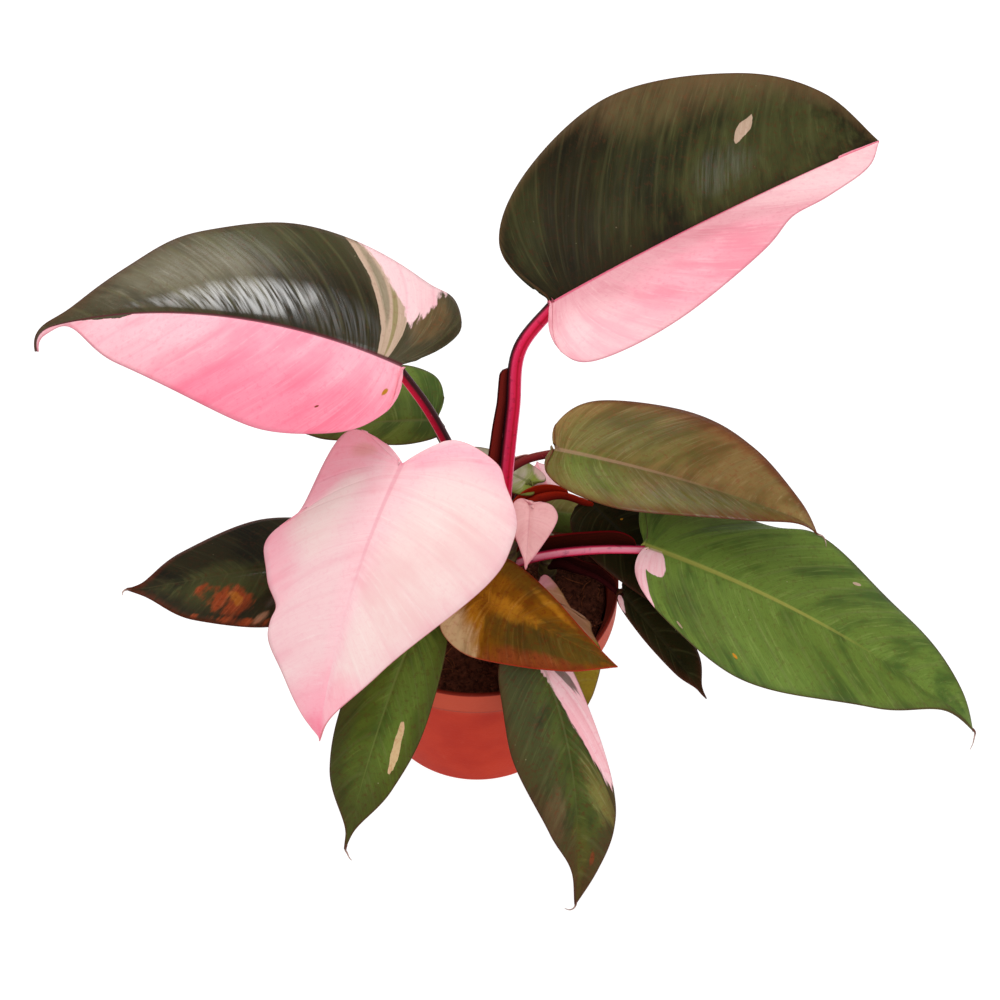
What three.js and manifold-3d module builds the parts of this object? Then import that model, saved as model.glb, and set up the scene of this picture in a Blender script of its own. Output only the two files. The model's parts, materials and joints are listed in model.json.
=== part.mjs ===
// Potted 'pink princess' philodendron: a plastic nursery pot, its root ball, three short
// stems, and seventeen leaves, each a petiole and a blade. Millimetres, +Z up, +Y to the back;
// the origin is the centre of the pot's underside.
import * as THREE from 'three';
import { mergeVertices } from 'three/addons/utils/BufferGeometryUtils.js';
import Module from 'manifold-3d';

const wasm = await Module();
wasm.setup();

// Pot and root ball.
const potHeight = 88;
const rimRadius = 60;
const baseRadius = 43;
const wallThickness = 1.3;
const floorThickness = 1.8;
const collarHeight = 14;
const collarStep = 1.6;
const ledgeHeight = 80;
const lipRadius = 0.8;
const lipInside = 0.3;
const drainHoles = 8;
const drainRadius = 4;
const drainCircle = 29;
const soilEdgeHeight = 78;
const soilCrown = 5;
const baseBevel = 1;
const collarBevel = 0.6;
const ballBevel = 2;
const ballShoulder = 1;
const potSides = 44;
const holeSides = 16;

// Plant.
const gap = 0.35;
const sliverSize = 0.02;
const bladeGap = 0.55;
const bladeThickness = 1;
const edgeThinning = 0.2;
const leastHalfWidth = 0.6;
const bladeStart = 0.03;
const bladeEnd = 0.985;
const bladeSteps = 16;
const bladeColumns = 6;
const midribSteps = 60;
const hookStart = 0.85;
const veinBow = 0.14;
const dripWidth = 0.035;
const petioleSides = 8;
const petioleStep = 14;
const stemBury = 22;
const stemSides = 14;
const nodeSpacing = 9;
const nodeReach = 2;
const nodeSwell = 0.1;

// Stems: where each stands on the soil, its girth and how high it reaches.
const stems = {
  main: { foot: [11, 1], radius: 6.5, top: 116 },
  front: { foot: [4, -24], radius: 3.6, top: 104 },
  right: { foot: [30, 6], radius: 3.6, top: 110 },
};

// Leaves. base is where the blade joins its petiole; length, and the half widths left and
// right of the midrib, are in mm. heading, pitch and roll set the midrib at the base, in
// degrees; droop and bend turn it evenly towards the tip, and hook bends its last stretch.
// fold lifts each half from the midrib and curl bends it on towards its edge. The outline of
// each half is given as fractions: how far its lobe goes back and where across, how full the
// lobe is, where the half is widest, its width at 0.7 of the length and near the tip, and how
// much of the length is a narrow drip tip.
const plainLeaf = {
  pitch: 0, roll: 0, droop: 15, bend: 0, hook: 0, fold: [0, 0], curl: [-10, -10],
  back: [0.14, 0.14], backAcross: [0.45, 0.45], lobe: [0.71, 0.71], widest: [0.25, 0.25],
  shoulder: [0.62, 0.62], tail: [0.1, 0.1], tailAt: 0.92, drip: 0,
};

const leaves = {
  upper_right: {
    stem: 'main', from: 110, girth: 3.2, via: [[12, 0, 150], [15, 5, 190], [17.7, 14, 214]],
    base: [30, 25, 229], length: 153, half: [60, 47], heading: 30, pitch: 10, droop: 10, roll: 8,
    fold: [32, 26], curl: [-6, -10], back: [0.05, 0.08], backAcross: [0.47, 0.64],
    lobe: [0.63, 0.79], widest: [0.36, 0.19], shoulder: [0.78, 0.48], tail: [0.44, 0.29],
    tailAt: 0.9,
  },
  upper_left: {
    stem: 'main', from: 104, girth: 2.5, via: [[3, 5, 118], [-5, 6, 148], [-18, 8, 185]],
    base: [-28, 10, 209], length: 164, half: [41, 50], heading: 171, pitch: 26, droop: 61,
    hook: 57, roll: -15, fold: [-12, 6], curl: [-25, -30], back: [0, 0.11],
    backAcross: [0.52, 0.56], lobe: [0.66, 0.67], widest: [0.3, 0.32], shoulder: [0.48, 0.41],
    tail: [0.02, 0.09], tailAt: 0.85, drip: 0.09,
  },
  front_pink: {
    stem: 'main', from: 98, girth: 2.5, via: [[3, -5, 108], [-5, -10, 136], [-16, -14, 163]],
    base: [-28, -15, 180], length: 118, half: [53, 45], heading: -122, pitch: -34, droop: 26,
    bend: 15, hook: 8, fold: [-5, -8], curl: [-15, -15], back: [0.14, 0], backAcross: [0.26, 0.7],
    lobe: [0.77, 0.31], widest: [0.16, 0.4], shoulder: [0.37, 0.64], tail: [0.05, 0.23],
  },
  right_upper: {
    stem: 'main', from: 104, girth: 2, via: [[12, 8, 118], [11.5, 9, 144], [20, 11, 151.5]],
    base: [32, 10, 160], length: 114, half: [40.5, 21], heading: -11, pitch: -4, droop: 18,
    hook: 32, fold: [-2, -5], curl: [-8, -12], back: [0.01, 0], backAcross: [0.38, 0.62],
    lobe: [0.7, 0.64], widest: [0.43, 0.26], shoulder: [0.75, 0.46], tail: [0.27, 0.12],
    tailAt: 0.9,
  },
  right_lower: {
    stem: 'main', from: 94, girth: 2.2, via: [[19, -3, 104], [32, -8, 115], [51, -13, 124]],
    base: [69, -15, 129], length: 158, half: [44.5, 38], heading: -18.5, pitch: -8, droop: 24,
    bend: -6, hook: 22, fold: [-3, -5], curl: [-10, -12], back: [0, 0],
    backAcross: [0.8, 0.35], lobe: [0.3, 0.65], widest: [0.4, 0.33], shoulder: [0.65, 0.59],
    tail: [0.24, 0.05], tailAt: 0.9,
  },
  back_left: {
    stem: 'main', from: 94, girth: 1.9, via: [[4, 9, 104], [-6, 17, 126], [-13, 22, 150]],
    base: [-16, 22, 164], length: 60, half: [12, 33], heading: 180, back: [0.06, 0.05],
  },
  behind_right: {
    stem: 'main', from: 106, girth: 1.8, via: [[18, 5, 114], [22, 11, 123], [34, 14, 126]],
    base: [48, 15, 121], length: 75, half: [26, 19], heading: -42, pitch: -15,
    back: [0.1, 0.03],
  },
  back_small: {
    stem: 'main', from: 98, girth: 1.4, via: [[14, 9, 105], [15.5, 16, 114], [18, 19, 122]],
    base: [22, 20, 127.5], length: 38, half: [9, 9.5], heading: 146, droop: 6,
  },
  back_pink: {
    stem: 'main', from: 100, girth: 1.2, via: [[20, 12, 106], [27, 17, 115]],
    base: [31, 19, 123], length: 22, half: [9, 9], heading: 105, pitch: -12, droop: 5,
  },
  left: {
    stem: 'front', from: 86, girth: 1.6, via: [[-2, -23, 93], [-20, -20, 106], [-42, -14, 112]],
    base: [-62, -9, 112], length: 82, half: [27, 31], heading: 192, pitch: 4, droop: 8,
    hook: -20, fold: [-5, -5], curl: [-12, -12], widest: [0.32, 0.26],
    shoulder: [0.68, 0.58], tail: [0.12, 0.09],
  },
  front_left: {
    stem: 'front', from: 91, girth: 1.5, via: [[0, -28, 99], [-6, -34, 110], [-14, -39, 117]],
    base: [-22, -42, 117], length: 100, half: [18, 18], heading: -114, pitch: -22, droop: 34,
    bend: 2, back: [0.04, 0.1], widest: [0.42, 0.44], shoulder: [0.7, 0.84],
    tail: [0.09, 0.09],
  },
  front_right: {
    stem: 'front', from: 85, girth: 1.6, via: [[7, -29, 91], [11, -35, 102], [17, -45, 110]],
    base: [24, -53, 111], length: 114, half: [16, 23.5], heading: -58.5, pitch: -34, droop: 38,
    bend: -39.5, hook: -12, back: [0, 0], backAcross: [0.53, 0.7], lobe: [0.51, 0.64],
    widest: [0.55, 0.34], shoulder: [0.93, 0.49], tail: [0.5, 0.11], tailAt: 0.86,
  },
  centre: {
    stem: 'front', from: 99, girth: 1.5, via: [[5, -27, 110], [3, -31, 118]],
    base: [0, -36, 123], length: 64, half: [24, 25], heading: -25, pitch: -6, droop: 10,
    fold: [0, -5], curl: [-6, -12], widest: [0.06, 0.14], shoulder: [0.32, 0.54],
    tail: [0.08, 0.18],
  },
  front_small: {
    stem: 'front', from: 96, girth: 1.3, via: [[9, -23, 102], [15, -23, 109], [20, -24, 113]],
    base: [25, -26, 113], length: 52, half: [15, 12], heading: -57, pitch: -35,
    back: [0.08, 0.12], lobe: [0.55, 0.71], widest: [0.55, 0.3], shoulder: [0.97, 0.7],
    tail: [0.35, 0.15],
  },
  right_small: {
    stem: 'right', from: 91, girth: 1.4, via: [[35, 1, 97], [42, -7, 103], [51, -14, 106]],
    base: [60, -20, 104], length: 56, half: [14, 6], heading: -43, pitch: -25, droop: 12,
    back: [0.06, 0], widest: [0.25, 0.35], shoulder: [0.75, 0.8],
  },
  pink_heart: {
    stem: 'right', from: 103, girth: 1.3, via: [[29, 1, 114], [26, -4, 131], [23, -8, 142]],
    base: [22, -9, 147], length: 26, half: [11.5, 8], heading: -95, pitch: -45, droop: 5,
    back: [0.06, 0.1], widest: [0.16, 0.18], shoulder: [0.4, 0.36], tail: [0.06, 0.06],
  },
  back_low: {
    stem: 'right', from: 90, girth: 1.3, via: [[29, 12, 95], [27, 19, 99], [25, 25, 101]],
    base: [27, 27, 101], length: 38, half: [11, 11], heading: -3, pitch: -3, droop: 10,
  },
};

const colours = {
  pot: 0xbe3c2d, soil: 0x2a1c14, stem: 0x4a3a20, petiole: 0x8a2238,
  olive: 0x4a4a22, green: 0x5f7837, dark: 0x32301c, pink: 0xf5b4be,
};
const bladeColours = {
  front_pink: 'pink', pink_heart: 'pink', back_pink: 'pink', upper_right: 'dark',
  upper_left: 'dark', left: 'dark', behind_right: 'dark', right_small: 'dark',
  right_upper: 'olive', centre: 'olive',
};

// A closed solid from a geometry, by its corner positions alone.
function solidOf(geometry) {
  const plain = geometry.clone();
  plain.deleteAttribute('normal');
  plain.deleteAttribute('uv');
  const merged = mergeVertices(plain, 1e-4);
  return new wasm.Manifold(new wasm.Mesh({
    numProp: 3,
    vertProperties: new Float32Array(merged.attributes.position.array),
    triVerts: new Uint32Array(merged.index.array),
  }));
}

function geometryOf(solid) {
  const mesh = solid.simplify(sliverSize).getMesh();
  const geometry = new THREE.BufferGeometry();
  geometry.setAttribute('position', new THREE.BufferAttribute(mesh.vertProperties.slice(), 3));
  geometry.setIndex(new THREE.BufferAttribute(mesh.triVerts.slice(), 1));
  geometry.computeVertexNormals();
  return geometry;
}

function largestPiece(solid) {
  return solid.decompose().reduce((best, next) => (next.volume() > best.volume() ? next : best));
}

function namedMesh(name, solid, colour, roughness) {
  const material = new THREE.MeshStandardMaterial({ color: colours[colour], roughness, metalness: 0 });
  const mesh = new THREE.Mesh(geometryOf(solid), material);
  mesh.name = name;
  return mesh;
}

// A solid turned about the Z axis from its [radius, height] profile.
function turned(profile, sides) {
  const points = profile.map(([radius, height]) => new THREE.Vector2(radius, height));
  return solidOf(new THREE.LatheGeometry(points, sides).rotateX(Math.PI / 2));
}

// The pot's outer radius under the collar, at a height.
function wallRadius(height) {
  const slope = (rimRadius - collarStep - baseRadius) / potHeight;
  return baseRadius + slope * height;
}

function makePot() {
  const collarFoot = potHeight - collarHeight;
  const innerTop = rimRadius - wallThickness;
  const profile = [
    [0, 0],
    [baseRadius - baseBevel, 0],
    [baseRadius, baseBevel],
    [wallRadius(collarFoot), collarFoot],
    [rimRadius - collarBevel, collarFoot + collarBevel],
    [rimRadius, potHeight - lipRadius],
    [rimRadius - lipRadius, potHeight],
    [innerTop + lipInside, potHeight],
    [innerTop, potHeight - lipInside],
    [innerTop, ledgeHeight + collarStep],
    [wallRadius(ledgeHeight) - wallThickness, ledgeHeight],
    [wallRadius(floorThickness) - wallThickness, floorThickness],
    [0, floorThickness],
  ];
  let pot = turned(profile, potSides);
  for (let index = 0; index < drainHoles; index += 1) {
    const angle = (index / drainHoles) * 2 * Math.PI;
    const hole = new THREE.CylinderGeometry(
      drainRadius, drainRadius, 3 * floorThickness, holeSides,
    );
    hole.rotateX(Math.PI / 2);
    hole.translate(drainCircle * Math.cos(angle), drainCircle * Math.sin(angle), floorThickness / 2);
    pot = pot.subtract(solidOf(hole));
  }
  return pot;
}

// A stem is round, with a blunt foot and top, and swells at each node above the soil.
function stemSolid({ foot, radius, top }, extra = 0) {
  const low = soilEdgeHeight - stemBury - extra;
  const high = top + extra;
  const wide = radius + extra;
  const swollen = wide + nodeSwell * radius;
  const profile = [[0, low], [0.7 * wide, low], [wide, low + 6]];
  for (let height = soilEdgeHeight + 8; height < top - 7; height += nodeSpacing) {
    profile.push([wide, height - nodeReach], [swollen, height], [wide, height + nodeReach]);
  }
  profile.push([wide, high - 4], [0.75 * wide, high - 1], [0, high]);
  return turned(profile, stemSides).translate([foot[0], foot[1], 0]);
}

// The root ball fills the pot up to its crowned top, with a socket for each stem.
function makeRootBall(stemSockets) {
  const floor = floorThickness + gap;
  const inner = (height) => wallRadius(height) - wallThickness - gap;
  const edge = inner(soilEdgeHeight) - ballShoulder;
  const profile = [
    [0, floor],
    [inner(floor) - ballBevel, floor],
    [inner(floor + ballBevel), floor + ballBevel],
    [edge, soilEdgeHeight],
  ];
  for (const share of [0.8, 0.6, 0.4, 0.2, 0]) {
    profile.push([edge * share, soilEdgeHeight + soilCrown * (1 - share * share)]);
  }
  const ball = turned(profile, potSides);
  return stemSockets.reduce((left, socket) => left.subtract(socket), ball);
}

const radians = THREE.MathUtils.degToRad;

// Stations along a midrib: where it is, and its heading and pitch there.
function midribOf(leaf) {
  const point = new THREE.Vector3(...leaf.base);
  const stations = [];
  for (let index = 0; index <= midribSteps; index += 1) {
    const along = index / midribSteps;
    const hooked = leaf.hook * THREE.MathUtils.smoothstep(along, hookStart, 1);
    const pitch = radians(leaf.pitch - leaf.droop * along - hooked);
    const heading = radians(leaf.heading + leaf.bend * along);
    const flat = Math.cos(pitch);
    const ahead = new THREE.Vector3(
      flat * Math.cos(heading), flat * Math.sin(heading), Math.sin(pitch),
    );
    stations.push({ point: point.clone(), heading, pitch, ahead });
    point.addScaledVector(ahead, leaf.length / midribSteps);
  }
  return stations;
}

// The midrib's point, and the directions across and out of the blade, at a fraction of its
// length. Behind the base, a negative fraction carries straight on backwards.
function frameAt(leaf, stations, along) {
  const place = THREE.MathUtils.clamp(along, 0, 1) * (stations.length - 1);
  const index = Math.min(Math.floor(place), stations.length - 2);
  const share = place - index;
  const [near, far] = [stations[index], stations[index + 1]];
  const point = near.point.clone().lerp(far.point, share);
  point.addScaledVector(near.ahead, Math.min(along, 0) * leaf.length);
  const heading = THREE.MathUtils.lerp(near.heading, far.heading, share);
  const pitch = THREE.MathUtils.lerp(near.pitch, far.pitch, share);
  const level = new THREE.Vector3(-Math.sin(heading), Math.cos(heading), 0);
  const ahead = new THREE.Vector3(
    Math.cos(pitch) * Math.cos(heading), Math.cos(pitch) * Math.sin(heading), Math.sin(pitch),
  );
  const across = level.applyAxisAngle(ahead, radians(leaf.roll));
  return { point, across, out: ahead.clone().cross(across) };
}

// The edge of one half of a blade. x is the fraction along the midrib, y the fraction of the
// half width, and z where on the midrib the vein that ends there begins.
function outlineOf(leaf, side) {
  const keys = ['back', 'backAcross', 'lobe', 'widest'];
  const [back, across, lobe, widest] = keys.map((key) => leaf[key][side]);
  const dripStart = 1 - leaf.drip;
  const drip = leaf.drip > 0 ? [new THREE.Vector3(dripStart, dripWidth, dripStart - 0.01)] : [];
  return new THREE.CatmullRomCurve3([
    new THREE.Vector3(0, 0, 0),
    new THREE.Vector3(-back, across, 0.01),
    new THREE.Vector3(widest - lobe * (widest + back), across + lobe * (1 - across), 0.03),
    new THREE.Vector3(widest, 1, 0.1),
    new THREE.Vector3(0.7, leaf.shoulder[side], 0.5),
    new THREE.Vector3(leaf.tailAt, leaf.tail[side], leaf.tailAt - 0.05),
    ...drip,
    new THREE.Vector3(1, 0, 1),
  ]);
}

// A point of the blade: step runs from base to tip along the edge, reach from the midrib (0)
// to the left edge (1) or the right edge (-1), and lift is the distance off the middle layer.
function bladePoint(leaf, stations, outlines, step, reach, lift) {
  const side = reach < 0 ? 1 : 0;
  const share = Math.abs(reach);
  const edge = outlines[side].getPoint(step);
  const bowed = veinBow * share * (1 - share) * edge.y;
  const along = THREE.MathUtils.lerp(edge.z, edge.x, share) - bowed;
  const half = leaf.half[side];
  const wide = share * Math.max(edge.y * half, leastHalfWidth);
  const fold = radians(leaf.fold[side]);
  const curl = radians(leaf.curl[side]);
  const angle = fold + (curl * wide) / half;
  const out = (half / curl) * (Math.sin(angle) - Math.sin(fold));
  const up = (half / curl) * (Math.cos(fold) - Math.cos(angle));
  const sign = side === 0 ? 1 : -1;
  const tilt = share > 0 ? angle : 0;
  const frame = frameAt(leaf, stations, along);
  return frame.point
    .addScaledVector(frame.across, sign * (out - lift * Math.sin(tilt)))
    .addScaledVector(frame.out, up + lift * Math.cos(tilt));
}

// A blade is a flat box whose grid of corners is laid out over the leaf.
function bladeSolid(leaf, thickness) {
  const stations = midribOf(leaf);
  const outlines = [outlineOf(leaf, 0), outlineOf(leaf, 1)];
  const box = new THREE.BoxGeometry(1, 2, 1, bladeSteps, bladeColumns, 1);
  const corners = box.attributes.position;
  for (let index = 0; index < corners.count; index += 1) {
    const step = THREE.MathUtils.lerp(bladeStart, bladeEnd, corners.getX(index) + 0.5);
    const reach = corners.getY(index);
    const thinned = thickness * (1 - edgeThinning * Math.abs(reach));
    const point = bladePoint(leaf, stations, outlines, step, reach, corners.getZ(index) * thinned);
    corners.setXYZ(index, point.x, point.y, point.z);
  }
  return solidOf(box);
}

// The room a blade takes up against its petiole: thicker all over, and moved a gap's width
// backwards and to each side.
function bladeClearance(leaf) {
  const thick = bladeSolid(leaf, bladeThickness + 2 * bladeGap);
  const stations = midribOf(leaf);
  const { across } = frameAt(leaf, stations, 0);
  const moves = [[-1, 0], [-2, 0], [-2, 1], [-2, -1], [-1, 1], [-1, -1], [0, 1], [0, -1]];
  return moves.reduce((room, [forward, sideways]) => {
    const move = stations[0].ahead.clone().multiplyScalar(forward * bladeGap);
    move.addScaledVector(across, sideways * bladeGap);
    return room.add(thick.translate(move.toArray()));
  }, thick);
}

// A petiole sweeps a round section from inside its stem to the base of its blade.
function petioleSolid(leaf, extra = 0) {
  const { foot } = stems[leaf.stem];
  const route = [[foot[0], foot[1], leaf.from], ...leaf.via, leaf.base];
  const path = new THREE.CatmullRomCurve3(route.map((point) => new THREE.Vector3(...point)));
  const section = new THREE.Shape().absarc(0, 0, leaf.girth + extra, 0, 2 * Math.PI);
  const steps = Math.ceil(path.getLength() / petioleStep);
  return solidOf(new THREE.ExtrudeGeometry(section, {
    steps, extrudePath: path, curveSegments: petioleSides / 2,
  }));
}

const plant = new THREE.Group();
plant.add(namedMesh('pot', makePot(), 'pot', 0.45));

const stemNames = Object.keys(stems);
const sockets = stemNames.map((name) => stemSolid(stems[name], gap));
plant.add(namedMesh('root_ball', makeRootBall(sockets), 'soil', 0.95));
stemNames.forEach((name) => {
  plant.add(namedMesh(`stem_${name}`, stemSolid(stems[name]), 'stem', 0.6));
});

// Each petiole is cut back from the stems, its own blade and the petioles made before it.
let taken = sockets.reduce((all, socket) => all.add(socket));
for (const [name, shape] of Object.entries(leaves)) {
  const leaf = { ...plainLeaf, ...shape };
  const petiole = largestPiece(petioleSolid(leaf).subtract(taken).subtract(bladeClearance(leaf)));
  taken = taken.add(petioleSolid(leaf, gap));
  const bladeColour = bladeColours[name] ?? 'green';
  plant.add(namedMesh(`petiole_${name}`, petiole, 'petiole', 0.4));
  plant.add(namedMesh(`leaf_${name}`, bladeSolid(leaf, bladeThickness), bladeColour, 0.4));
}

export default plant;
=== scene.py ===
import bisect
import json
import math
import random

import bpy
from mathutils import Matrix, Vector, noise


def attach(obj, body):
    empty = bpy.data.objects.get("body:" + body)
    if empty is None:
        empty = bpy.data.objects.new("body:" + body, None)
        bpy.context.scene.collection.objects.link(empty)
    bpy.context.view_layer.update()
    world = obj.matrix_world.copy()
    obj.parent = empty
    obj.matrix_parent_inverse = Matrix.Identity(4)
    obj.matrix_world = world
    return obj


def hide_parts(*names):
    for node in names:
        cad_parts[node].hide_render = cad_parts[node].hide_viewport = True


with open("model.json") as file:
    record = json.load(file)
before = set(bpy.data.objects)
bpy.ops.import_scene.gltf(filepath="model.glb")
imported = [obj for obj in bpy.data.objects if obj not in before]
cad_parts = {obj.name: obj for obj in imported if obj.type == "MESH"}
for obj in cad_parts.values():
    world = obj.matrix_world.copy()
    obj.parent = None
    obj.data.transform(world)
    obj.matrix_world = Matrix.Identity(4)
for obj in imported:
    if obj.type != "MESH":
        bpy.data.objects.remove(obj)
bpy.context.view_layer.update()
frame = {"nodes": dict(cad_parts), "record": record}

mm = 0.001
print("frame loaded:", len(frame["nodes"]), "nodes")


# the camera's target and distance are in mm, its elevation in degrees; lights in metres
view = {"target": (10, 0, 139.7), "distance": 1000, "elevation": 50, "lens": 88.8, "sensor": 36}
studio = {
    "key": dict(size=0.9, energy=9, place=(-0.35, 0.35, 1.15), aim=(0, 0, 0.12)),
    "fill": dict(size=1.3, energy=7.4, place=(0.7, -0.9, 1.0), aim=(0, 0, 0.12)),
    "sky": 0.52,
    "floorSize": 24,
    "floorGlow": 0.95,
    "floorTones": ((120, 120, 120), (124, 124, 124)),
}
cameraTilt = math.radians(view["elevation"])
facing = Vector((0, -math.cos(cameraTilt), math.sin(cameraTilt)))  # from the plant to the camera


def aimAt(piece, place, target):
    piece.location = place
    piece.rotation_euler = (Vector(target) - Vector(place)).to_track_quat("-Z", "Y").to_euler()


def makeCamera():
    bpy.ops.object.camera_add()
    camera = bpy.context.object
    camera.data.lens = view["lens"]
    camera.data.sensor_width = view["sensor"]
    target = Vector(view["target"]) * mm
    aimAt(camera, target + facing * view["distance"] * mm, target)
    bpy.context.scene.camera = camera


def makeLights():
    for name in ("key", "fill"):
        lamp = studio[name]
        bpy.ops.object.light_add(type="AREA")
        light = bpy.context.object
        light.name = name
        light.data.size = lamp["size"]
        light.data.energy = lamp["energy"]
        aimAt(light, lamp["place"], lamp["aim"])
    world = bpy.data.worlds.new("studio")
    bpy.context.scene.world = world
    world.use_nodes = True
    sky = world.node_tree.nodes["Background"]
    sky.inputs["Color"].default_value = (1, 1, 1, 1)
    sky.inputs["Strength"].default_value = studio["sky"]
    bpy.context.scene.view_settings.view_transform = "Standard"


class Wire:
    # a value in a material: sums and products of wires add Math nodes
    def __init__(self, paint, socket):
        self.paint = paint
        self.socket = socket

    def math(self, operation, other=0.0, flip=False):
        ends = [other, self] if flip else [self, other]
        return self.paint.add("ShaderNodeMath", {"operation": operation}, ends)

    def __add__(self, other):
        return self.math("ADD", other)

    def __sub__(self, other):
        return self.math("SUBTRACT", other)

    def __rsub__(self, other):
        return self.math("SUBTRACT", other, flip=True)

    def __mul__(self, other):
        return self.math("MULTIPLY", other)

    def __truediv__(self, other):
        return self.math("DIVIDE", other)

    def __pow__(self, other):
        return self.math("POWER", other)

    def __abs__(self):
        return self.math("ABSOLUTE")

    __radd__ = __add__
    __rmul__ = __mul__

    def rise(self, low, high):  # 0 up to low, 1 from high on, or the other way if high is lower
        return self.paint.add(
            "ShaderNodeMapRange", {"interpolation_type": "SMOOTHSTEP"},
            {"Value": self, "From Min": low, "From Max": high})


shineCoat = {"Coat Roughness": 0.16, "Coat IOR": 2.0}  # the glossy places of a leaf


class Paint:
    def __init__(self, name):
        self.material = bpy.data.materials.new(name)
        self.material.use_nodes = True
        self.tree = self.material.node_tree
        self.shader = self.tree.nodes["Principled BSDF"]

    def add(self, kind, settings=None, inputs=(), output=0):
        node = self.tree.nodes.new(kind)
        for key, value in (settings or {}).items():
            if key == "stops":
                ramp = node.color_ramp.elements
                while len(ramp) < len(value):
                    ramp.new(0.5)
                for stop, (place, colour) in zip(ramp, value):
                    stop.position = place
                    stop.color = colour
            else:
                setattr(node, key, value)
        pairs = inputs.items() if isinstance(inputs, dict) else enumerate(inputs)
        for key, value in pairs:
            if isinstance(value, Wire):
                self.tree.links.new(value.socket, node.inputs[key])
            else:
                node.inputs[key].default_value = value
        return Wire(self, node.outputs[output])

    def mix(self, share, first, second):
        return self.add("ShaderNodeMix", {"data_type": "RGBA"}, {0: share, 6: first, 7: second}, 2)

    def vector(self, x, y=0.0, z=0.0):
        return self.add("ShaderNodeCombineXYZ", None, [x, y, z])

    def noise(self, place, scale=1.0, detail=2.0, rough=0.5):
        return self.add("ShaderNodeTexNoise", None, {
            "Vector": place, "Scale": scale, "Detail": detail, "Roughness": rough})

    def cells(self, place, scale):
        return self.add("ShaderNodeTexVoronoi", None, {"Vector": place, "Scale": scale})

    def place(self):  # the piece's own coordinates, in metres
        return self.add("ShaderNodeTexCoord", output=3)

    def marks(self, name):  # a value kept at the points of the mesh
        return self.add("ShaderNodeAttribute", {"attribute_name": name}, output=2)

    def surface(self):  # the two values of the UV map
        uv = self.add("ShaderNodeUVMap")
        return [self.add("ShaderNodeSeparateXYZ", None, [uv], side) for side in (0, 1)]

    def finish(self, colour, roughness, height=None, relief=0.0002, gloss=0.5, coat=None):
        values = {"Base Color": colour, "Roughness": roughness, "Specular IOR Level": gloss}
        if coat is not None:
            values.update({"Coat Weight": coat, **shineCoat})
        for key, value in values.items():
            socket = self.shader.inputs[key]
            if isinstance(value, Wire):
                self.tree.links.new(value.socket, socket)
            else:
                socket.default_value = value
        if height is not None:
            bump = self.add("ShaderNodeBump", None, {"Height": height, "Distance": relief})
            self.tree.links.new(bump.socket, self.shader.inputs["Normal"])
        return self.material


def tone(red, green, blue):  # a screen colour, 0 to 255, as the shader takes it
    parts = [part / 255 for part in (red, green, blue)]
    return (*[p / 12.92 if p < 0.04 else ((p + 0.055) / 1.055) ** 2.4 for p in parts], 1)


def layGrid(name, columns, rows, placeOf, closed=True):
    # a grid of squares, each corner moved to placeOf(u, v); a closed one is welded along its seam
    bpy.ops.object.select_all(action="DESELECT")
    bpy.ops.mesh.primitive_grid_add(x_subdivisions=columns, y_subdivisions=rows, size=1)
    piece = bpy.context.object
    piece.name = name
    piece.data.name = name
    for corner in piece.data.vertices:
        corner.co = placeOf(corner.co.x + 0.5, corner.co.y + 0.5)
    if closed:
        bpy.ops.object.mode_set(mode="EDIT")
        bpy.ops.mesh.select_all(action="SELECT")
        bpy.ops.mesh.remove_doubles(threshold=1e-6)
        bpy.ops.mesh.normals_make_consistent(inside=False)
        bpy.ops.object.mode_set(mode="OBJECT")
    bpy.ops.object.shade_smooth()
    return piece


def applied(piece, kind, **settings):  # one modifier, set and applied
    modifier = piece.modifiers.new(kind.title(), kind)
    for key, value in settings.items():
        setattr(modifier, key, value)
    bpy.context.view_layer.objects.active = piece
    bpy.ops.object.modifier_apply(modifier=modifier.name)


def joined(pieces, name):
    bpy.ops.object.select_all(action="DESELECT")
    for piece in pieces:
        piece.select_set(True)
    bpy.context.view_layer.objects.active = pieces[0]
    if len(pieces) > 1:
        bpy.ops.object.join()
    whole = bpy.context.object
    whole.name = name
    whole.data.name = name
    return whole


def settle(piece, node, slot, *materials):  # the piece takes its place in the frame
    for material in materials:
        piece.data.materials.append(material)
    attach(piece, "root")
    if node:
        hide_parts(node)


def smoothLine(points, share):
    # the point at a share of a smooth line through the given points
    last = len(points) - 1
    index = min(int(share * last), last - 1)
    weight = share * last - index
    near, far = points[index], points[index + 1]
    before = points[index - 1] if index > 0 else 2 * points[0] - points[1]
    after = points[index + 2] if index + 2 <= last else 2 * points[last] - points[last - 1]
    steps = [max((b - a).length, 1e-8) ** 0.5
             for a, b in ((before, near), (near, far), (far, after))]
    first, middle, third = steps
    leave = (near - before) / first - (far - before) / (first + middle) + (far - near) / middle
    arrive = (far - near) / middle - (after - near) / (middle + third) + (after - far) / third
    leave = leave * middle
    arrive = arrive * middle
    bent = 3 * (far - near) - 2 * leave - arrive
    cubic = 2 * (near - far) + leave + arrive
    return near + leave * weight + bent * weight ** 2 + cubic * weight ** 3


pointed = 0.02  # the radius, in mm, of a rod's closed end


def atEnd(share):
    return share < 0.001 or share > 0.999


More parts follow.
